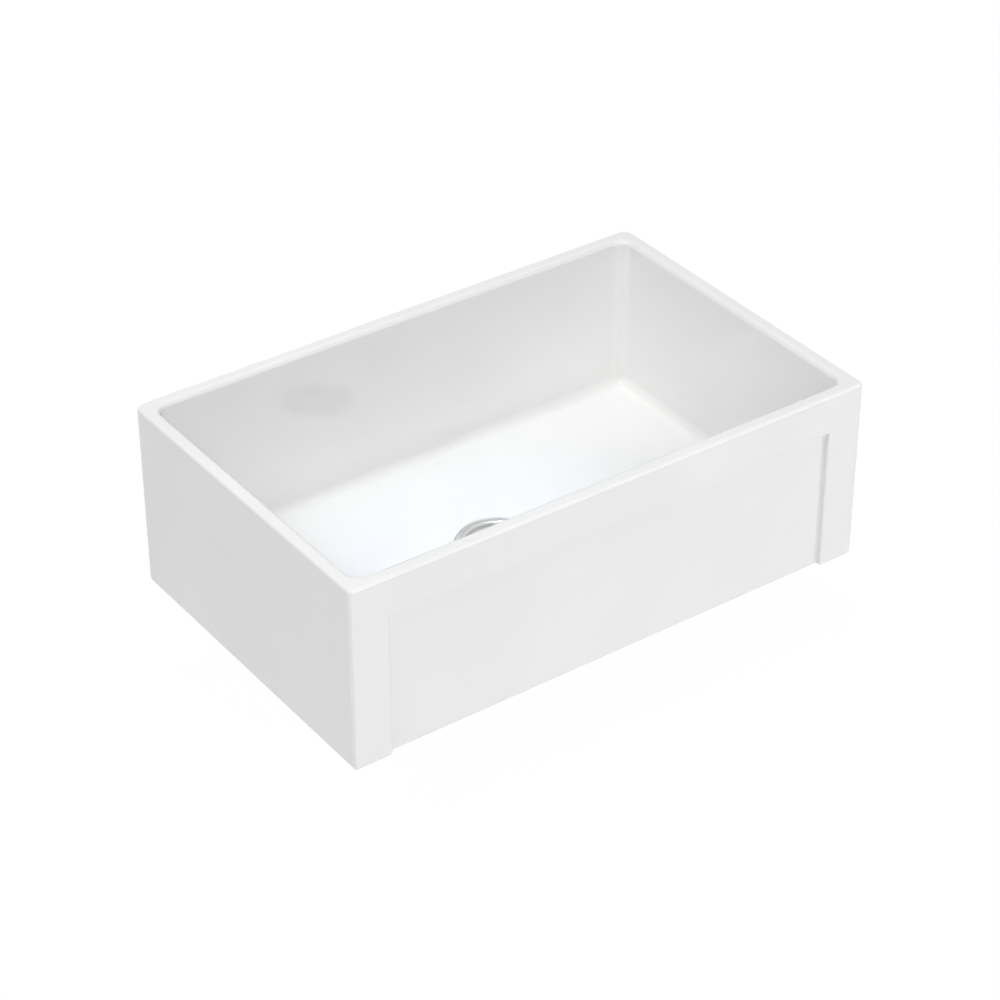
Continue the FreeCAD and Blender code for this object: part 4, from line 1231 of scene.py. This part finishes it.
# %% The putty, the washer and the ring
RING_BORE = CUP_RADIUS + 0.4
PUTTY_BORE = MOUTH_RADIUS + 0.3
make_ring("putty_ring", "squeezed", PUTTY_BORE, 0.5)
make_ring("sink_washer", "moulded", RING_BORE, 0.9)
make_ring("pressure_ring", "stamped", RING_BORE, 0.4)

# %% [markdown]
# The locknut is cast. Its outline starts as a circle with so many sides that four of them span
# one lug, which is then pulled out of the ring. The slab is rounded before its holes are cut,
# because a bevel runs best round a face without holes.

# %% The locknut
LOCKNUT_LOW = height_of("locknut", BOTTOM)
LOCKNUT_HIGH = height_of("locknut", TOP)
LOCKNUT_RADIUS = 56.0
LOCKNUT_BORE = CUP_RADIUS + FIT_GAP
LOCKNUT_SIDES = 88
LUGS = 4
LUG_TIP = radius_of("locknut")
LUG_SIDES = 4
LUG_CORNER_RADIUS = 3.0
CAST_ROUNDING = 1.0
JAM_CIRCLE_RADIUS = 49.5
JAM_SCREW_RADIUS = 3.0


def pull_lug(shape, direction):
    """Pulls the wall's sides that lie in a direction out to a flat tip."""
    wall = [face for face in shape.faces if abs(face.normal.z) < 0.5]
    outward = [face.calc_center_median().xy.normalized() for face in wall]
    widest = math.cos(math.pi * LUG_SIDES / LOCKNUT_SIDES)
    sides = [face for face, way in zip(wall, outward) if way @ direction > widest]
    made = bmesh.ops.extrude_face_region(shape, geom=sides)["geom"]
    bmesh.ops.delete(shape, geom=sides, context="FACES")
    for vert in only(BMVert, made):
        vert.co.xy += (LUG_TIP - vert.co.xy @ direction) * direction


def bore_holes(shape, holes):
    """Cuts upright holes, as (x, y, radius), through a slab whose largest faces are its caps."""
    caps = sorted(shape.faces, key=lambda face: face.calc_area())[-2:]
    heights = [cap.calc_center_median().z for cap in caps]
    bmesh.ops.delete(shape, geom=caps, context="FACES_ONLY")
    rims = [[], []]
    for x, y, radius in holes:
        for end, height in enumerate(heights):
            verts = bmesh.ops.create_circle(shape, segments=64, radius=radius)["verts"]
            bmesh.ops.translate(shape, verts=verts, vec=(x, y, height))
            rims[end].append(gathered(verts, "link_edges"))
    for height in heights:
        close_level(shape, height)
    for lower, upper in zip(*rims):
        bridge(shape, lower, upper)


def make_locknut():
    shape = bmesh.new()
    tall = LOCKNUT_HIGH - LOCKNUT_LOW
    bmesh.ops.create_cone(
        shape,
        cap_ends=True,
        segments=LOCKNUT_SIDES,
        radius1=LOCKNUT_RADIUS,
        radius2=LOCKNUT_RADIUS,
        depth=tall,
    )
    bmesh.ops.translate(shape, verts=shape.verts, vec=(0, 0, LOCKNUT_LOW + tall / 2))
    holes = [(0.0, 0.0, LOCKNUT_BORE)]
    for lug in range(LUGS):
        direction = Matrix.Rotation(math.tau * lug / LUGS, 2) @ Vector((1.0, 0.0))
        pull_lug(shape, direction)
        holes.append((*(direction * JAM_CIRCLE_RADIUS), JAM_SCREW_RADIUS + FIT_GAP))
    tips = edges_where(shape, lambda point: max(abs(point.x), abs(point.y)) > LUG_TIP - NEAR)
    upright = [edge for edge in tips if runs_along(edge, Vector((0.0, 0.0, 1.0)))]
    corners = [edge for edge in upright if edge.calc_face_angle(0.0) > SHARP_ANGLE]
    soften(shape, corners, LUG_CORNER_RADIUS, segments=5)
    for height in (LOCKNUT_LOW, LOCKNUT_HIGH):
        level = faces_where(shape, lambda point: near(point.z, height))
        cap = bmesh.ops.dissolve_faces(shape, faces=level)["region"]
        soften(shape, gathered(cap, "edges"), CAST_ROUNDING, segments=3)
    bore_holes(shape, holes)
    to_piece(shape, "locknut", "cast")


make_locknut()

# %% [markdown]
# A hexagon nut or screw head is turned before its flats matter: a round blank with two crowned
# ends. Here the blank's widest points are pushed out to the hexagon in their own direction, and
# dropped as they go, which leaves the curved line that a real nut has along each flat.

# %% Turning a hexagon
CROWN_SLOPE = math.radians(30.0)
CROWN_WIDTH = 0.03  # of the flat radius
CROWN_HEIGHT = 0.02


def hex_reach(point, flat_radius):
    """How far a hexagon reaches in the direction of a point."""
    angle = math.atan2(point.y, point.x) % (math.pi / 3)
    return flat_radius / math.cos(angle - math.pi / 6)


def hex_nut(outline, flat_radius, low, high):
    """A turned nut whose outer wall is drawn out to a hexagon, with its corners turned away."""
    shape = turned(outline, steps=72)
    middle = (low + high) / 2
    for vert in shape.verts:
        if vert.co.xy.length > flat_radius - NEAR:
            reach = hex_reach(vert.co, flat_radius)
            drop = (reach - flat_radius) * math.tan(CROWN_SLOPE)
            vert.co.xy *= reach / vert.co.xy.length
            vert.co.z += drop if vert.co.z < middle else -drop
    return shape


def nut_outline(bore, flat_radius, low, high):
    """Half outline of a nut: bore, faces, and the flats between its two crowns."""
    face = flat_radius - CROWN_WIDTH * flat_radius
    crown = CROWN_HEIGHT * flat_radius
    return [
        (bore, low, 0.0),
        (face, low, 0.0),
        (flat_radius, low + crown, 0.0),
        (flat_radius, high - crown, 0.0),
        (face, high, 0.0),
        (bore, high, 0.0),
    ]


# %% The jam screws
JAM_HEAD_FLAT = 5.5
JAM_HEAD_TOP = LOCKNUT_LOW - 4.0
JAM_HEAD_LOW = height_of("jam_screws", BOTTOM)
JAM_THREAD = {"pitch": 1.0, "depth": 0.35}
JAM_THREAD_MARGIN = 0.2
JAM_SCREW_TOP = height_of("jam_screws", TOP)


def make_jam_screws():
    outline = nut_outline(0.0, JAM_HEAD_FLAT, JAM_HEAD_LOW, JAM_HEAD_TOP)
    shape = hex_nut(outline, JAM_HEAD_FLAT, JAM_HEAD_LOW, JAM_HEAD_TOP)
    root = JAM_SCREW_RADIUS - JAM_THREAD["depth"]
    shank = [(0.0, JAM_HEAD_TOP), (root, JAM_HEAD_TOP), (root, JAM_SCREW_TOP), (0.0, JAM_SCREW_TOP)]
    verts, edges = draw_line(shape, shank)
    spin_round(shape, [*verts, *edges], steps=24)
    low, high = JAM_HEAD_TOP + JAM_THREAD_MARGIN, JAM_SCREW_TOP - JAM_THREAD_MARGIN
    wind_thread(shape, JAM_SCREW_RADIUS, low, high, steps=20, **JAM_THREAD)
    join_doubles(shape)
    bmesh.ops.translate(shape, verts=shape.verts, vec=(JAM_CIRCLE_RADIUS, 0.0, 0.0))
    bmesh.ops.spin(
        shape,
        geom=everything(shape),
        axis=(0.0, 0.0, 1.0),
        angle=math.tau * (LUGS - 1) / LUGS,
        steps=LUGS - 1,
        use_duplicate=True,
    )
    to_piece(shape, "jam_screws", "plated")


make_jam_screws()

# %% [markdown]
# The tailpiece hangs by its flange in the coupling nut, with a flat washer against the spud.

# %% The tailpiece, its washer and its nut
TAIL_TOP = height_of("tailpiece", TOP)
TAIL_END = height_of("tailpiece", BOTTOM)
TAIL_RADIUS = 19.05
TAIL_BORE = TAIL_RADIUS - 1.2
TAIL_WASHER_BORE = TAIL_RADIUS + 0.15
TAIL_NECK_RADIUS = 19.8
TAIL_FLANGE_SHEET = 1.6
TAIL_NECK_END = TAIL_TOP - 9.6
NUT_LOW = height_of("coupling_nut", BOTTOM)
NUT_HIGH = height_of("coupling_nut", TOP)
NUT_FLAT = 27.5
NUT_LIP_TOP = NUT_LOW + 3.0
NUT_LIP_GAP = 0.35


def make_tailpiece():
    flange = radius_of("tailpiece")
    underside = TAIL_TOP - TAIL_FLANGE_SHEET
    shape = turned(
        [
            (TAIL_BORE, TAIL_TOP, 0.6),
            (flange, TAIL_TOP, 0.3),
            (flange, underside, 0.4),
            (TAIL_NECK_RADIUS, underside, 0.5),
            (TAIL_NECK_RADIUS, TAIL_NECK_END, 0.6),
            (TAIL_RADIUS, TAIL_NECK_END, 0.5),
            (TAIL_RADIUS, TAIL_END, 0.4),
            (TAIL_BORE, TAIL_END, 0.4),
        ]
    )
    to_piece(shape, "tailpiece", "drawn")


def make_coupling_nut():
    thread, lip = SPUD_RADIUS + FIT_GAP, TAIL_NECK_RADIUS + NUT_LIP_GAP
    outline = nut_outline(thread, NUT_FLAT, NUT_LOW, NUT_HIGH)
    outline[0] = (lip, NUT_LOW, 0.5)
    outline += [(thread, NUT_LIP_TOP, 0.2), (lip, NUT_LIP_TOP, 0.2)]
    to_piece(hex_nut(outline, NUT_FLAT, NUT_LOW, NUT_HIGH), "coupling_nut", "crowned")


make_tailpiece()
make_coupling_nut()
make_ring("tailpiece_washer", "moulded", TAIL_WASHER_BORE, 0.3)

# %% [markdown]
# ## The bush and the stopper
# A plastic bush stands through the basket's floor, held by a thin nut below. The stem slides in
# it, and a rubber ring in the bush's groove grips the stem, so that the stopper stays up when
# the knob is pulled.

# %% The bush, its nut and its ring
BUSH_LOW = height_of("guide_bush", BOTTOM)
BUSH_HIGH = height_of("guide_bush", TOP)
BUSH_RADIUS = 7.0
BUSH_BORE = 3.05
GROOVE_RADIUS = 5.0
GROOVE_LOW = BASKET_FLOOR + BASKET_SHEET + 2.0
GROOVE_HIGH = GROOVE_LOW + 2.2
BUSH_NUT_FLAT = 10.0


def make_guide_bush():
    seat = BASKET_FLOOR + BASKET_SHEET
    boss = radius_of("guide_bush")
    shape = turned(
        [
            (BUSH_BORE, BUSH_LOW, 0.3),
            (BUSH_RADIUS, BUSH_LOW, 0.5),
            (BUSH_RADIUS, seat, 0.0),
            (boss, seat, 0.3),
            (boss, BUSH_HIGH, 1.3),
            (BUSH_BORE, BUSH_HIGH, 0.5),
            (BUSH_BORE, GROOVE_HIGH, 0.0),
            (GROOVE_RADIUS, GROOVE_HIGH, 0.0),
            (GROOVE_RADIUS, GROOVE_LOW, 0.0),
            (BUSH_BORE, GROOVE_LOW, 0.0),
        ]
    )
    to_piece(shape, "guide_bush", "moulded")


def make_plain_nut(node, bore, flat_radius):
    low, high = height_of(node, BOTTOM), height_of(node, TOP)
    shape = hex_nut(nut_outline(bore, flat_radius, low, high), flat_radius, low, high)
    to_piece(shape, node, "crowned")


make_guide_bush()
make_plain_nut("bush_nut", BUSH_RADIUS + FIT_GAP, BUSH_NUT_FLAT)
make_ring("grip_ring", "moulded", BUSH_BORE, 0.5)

# %% [markdown]
# The knob is the one piece of the drain that a hand touches. It is turned with a narrow waist
# under a wide cap, so that two wet fingers can hook under it, and its top is slightly dished.

# %% The knob and the stem
STEM_LOW = height_of("stem", BOTTOM)
STEM_TOP = height_of("stem", TOP)
STEM_RADIUS = 3.0
STEM_THIN_RADIUS = 2.5
STOPPER_BORE = STEM_THIN_RADIUS + FIT_GAP
COLLAR_RADIUS = radius_of("stem")
COLLAR_LOW = height_of("stopper_plate", TOP)
COLLAR_HIGH = COLLAR_LOW + 2.0
STEM_THREAD = {"pitch": 0.8, "depth": 0.3}
KNOB_LOW = height_of("knob", BOTTOM)
KNOB_HIGH = height_of("knob", TOP)
KNOB_RADIUS = radius_of("knob")
KNOB_CAP_LOW = KNOB_HIGH - 6.0
KNOB_WAIST_RADIUS = 5.5


def make_knob():
    shape = turned(
        [
            (0.0, STEM_TOP + FIT_GAP, 0.0),
            (STOPPER_BORE, STEM_TOP + FIT_GAP, 0.0),
            (STOPPER_BORE, KNOB_LOW, 0.2),
            (KNOB_WAIST_RADIUS, KNOB_LOW, 0.6),
            (KNOB_WAIST_RADIUS - 0.9, KNOB_LOW + 3.5, 1.6),
            (KNOB_WAIST_RADIUS - 0.3, KNOB_CAP_LOW - 0.2, 0.8),
            (KNOB_RADIUS - 1.6, KNOB_CAP_LOW + 0.4, 0.7),
            (KNOB_RADIUS, KNOB_CAP_LOW + 2.0, 0.9),
            (KNOB_RADIUS, KNOB_HIGH, 2.4),
            (KNOB_RADIUS - 4.0, KNOB_HIGH, 1.0),
            (KNOB_RADIUS - 5.0, KNOB_HIGH - 0.3, 1.0),
            (0.0, KNOB_HIGH - 0.5, 0.0),
        ],
        segments=6,
    )
    to_piece(shape, "knob", "polished")


def make_stem():
    root = STEM_THIN_RADIUS - STEM_THREAD["depth"]
    thread_top = height_of("stopper_washer", TOP)
    shape = turned(
        [
            (0.0, STEM_TOP, 0.0),
            (STEM_THIN_RADIUS, STEM_TOP, 0.4),
            (STEM_THIN_RADIUS, KNOB_LOW, 0.0),
            (STEM_RADIUS, KNOB_LOW, 0.3),
            (STEM_RADIUS, COLLAR_HIGH, 0.0),
            (COLLAR_RADIUS, COLLAR_HIGH, 0.4),
            (COLLAR_RADIUS, COLLAR_LOW, 0.2),
            (STEM_THIN_RADIUS, COLLAR_LOW, 0.0),
            (STEM_THIN_RADIUS, thread_top, 0.0),
            (root, thread_top, 0.0),
            (root, STEM_LOW, 0.8),
            (0.0, STEM_LOW, 0.0),
        ],
        steps=64,
    )
    wind_thread(shape, STEM_THIN_RADIUS, STEM_LOW + 1.0, thread_top, steps=24, **STEM_THREAD)
    to_piece(shape, "stem", "turned")


make_knob()
make_stem()

# %% [markdown]
# The stopper itself is a sandwich on the stem: a steel plate, the rubber seal that closes the
# outlet, a washer and a nut.

# %% The stopper
SEAL_RADIUS = radius_of("stopper_seal")
SEAL_LOW = height_of("stopper_seal", BOTTOM)
SEAL_HIGH = height_of("stopper_seal", TOP)
SEAL_TAPER = 1.2
STOPPER_NUT_FLAT = 4.5


def make_stopper_seal():
    shape = turned(
        [
            (STOPPER_BORE, SEAL_LOW, 0.0),
            (SEAL_RADIUS - SEAL_TAPER, SEAL_LOW, 0.5),
            (SEAL_RADIUS, SEAL_LOW + SEAL_TAPER, 0.6),
            (SEAL_RADIUS, SEAL_HIGH - SEAL_TAPER / 2, 0.3),
            (SEAL_RADIUS - SEAL_TAPER / 2, SEAL_HIGH, 0.3),
            (STOPPER_BORE, SEAL_HIGH, 0.0),
        ]
    )
    to_piece(shape, "stopper_seal", "moulded")


make_stopper_seal()
make_ring("stopper_plate", "stamped", STOPPER_BORE, 0.4)
make_ring("stopper_washer", "stamped", STOPPER_BORE, 0.25)
make_plain_nut("stopper_nut", STOPPER_BORE, STOPPER_NUT_FLAT)

# %% [markdown]
# ## Dressing the frame's own pieces
# Every node of the frame now has a finer piece in its place, and the frame's own one is hidden.
# It still gets the finish of its material slot, so that it looks right whenever it is shown.

# %% Dress the frame
for node, solid in frame["nodes"].items():
    solid.data.materials.clear()
    solid.data.materials.append(FINISHES[SLOT_OF[node]])
print("dressed:", len(frame["nodes"]), "nodes")
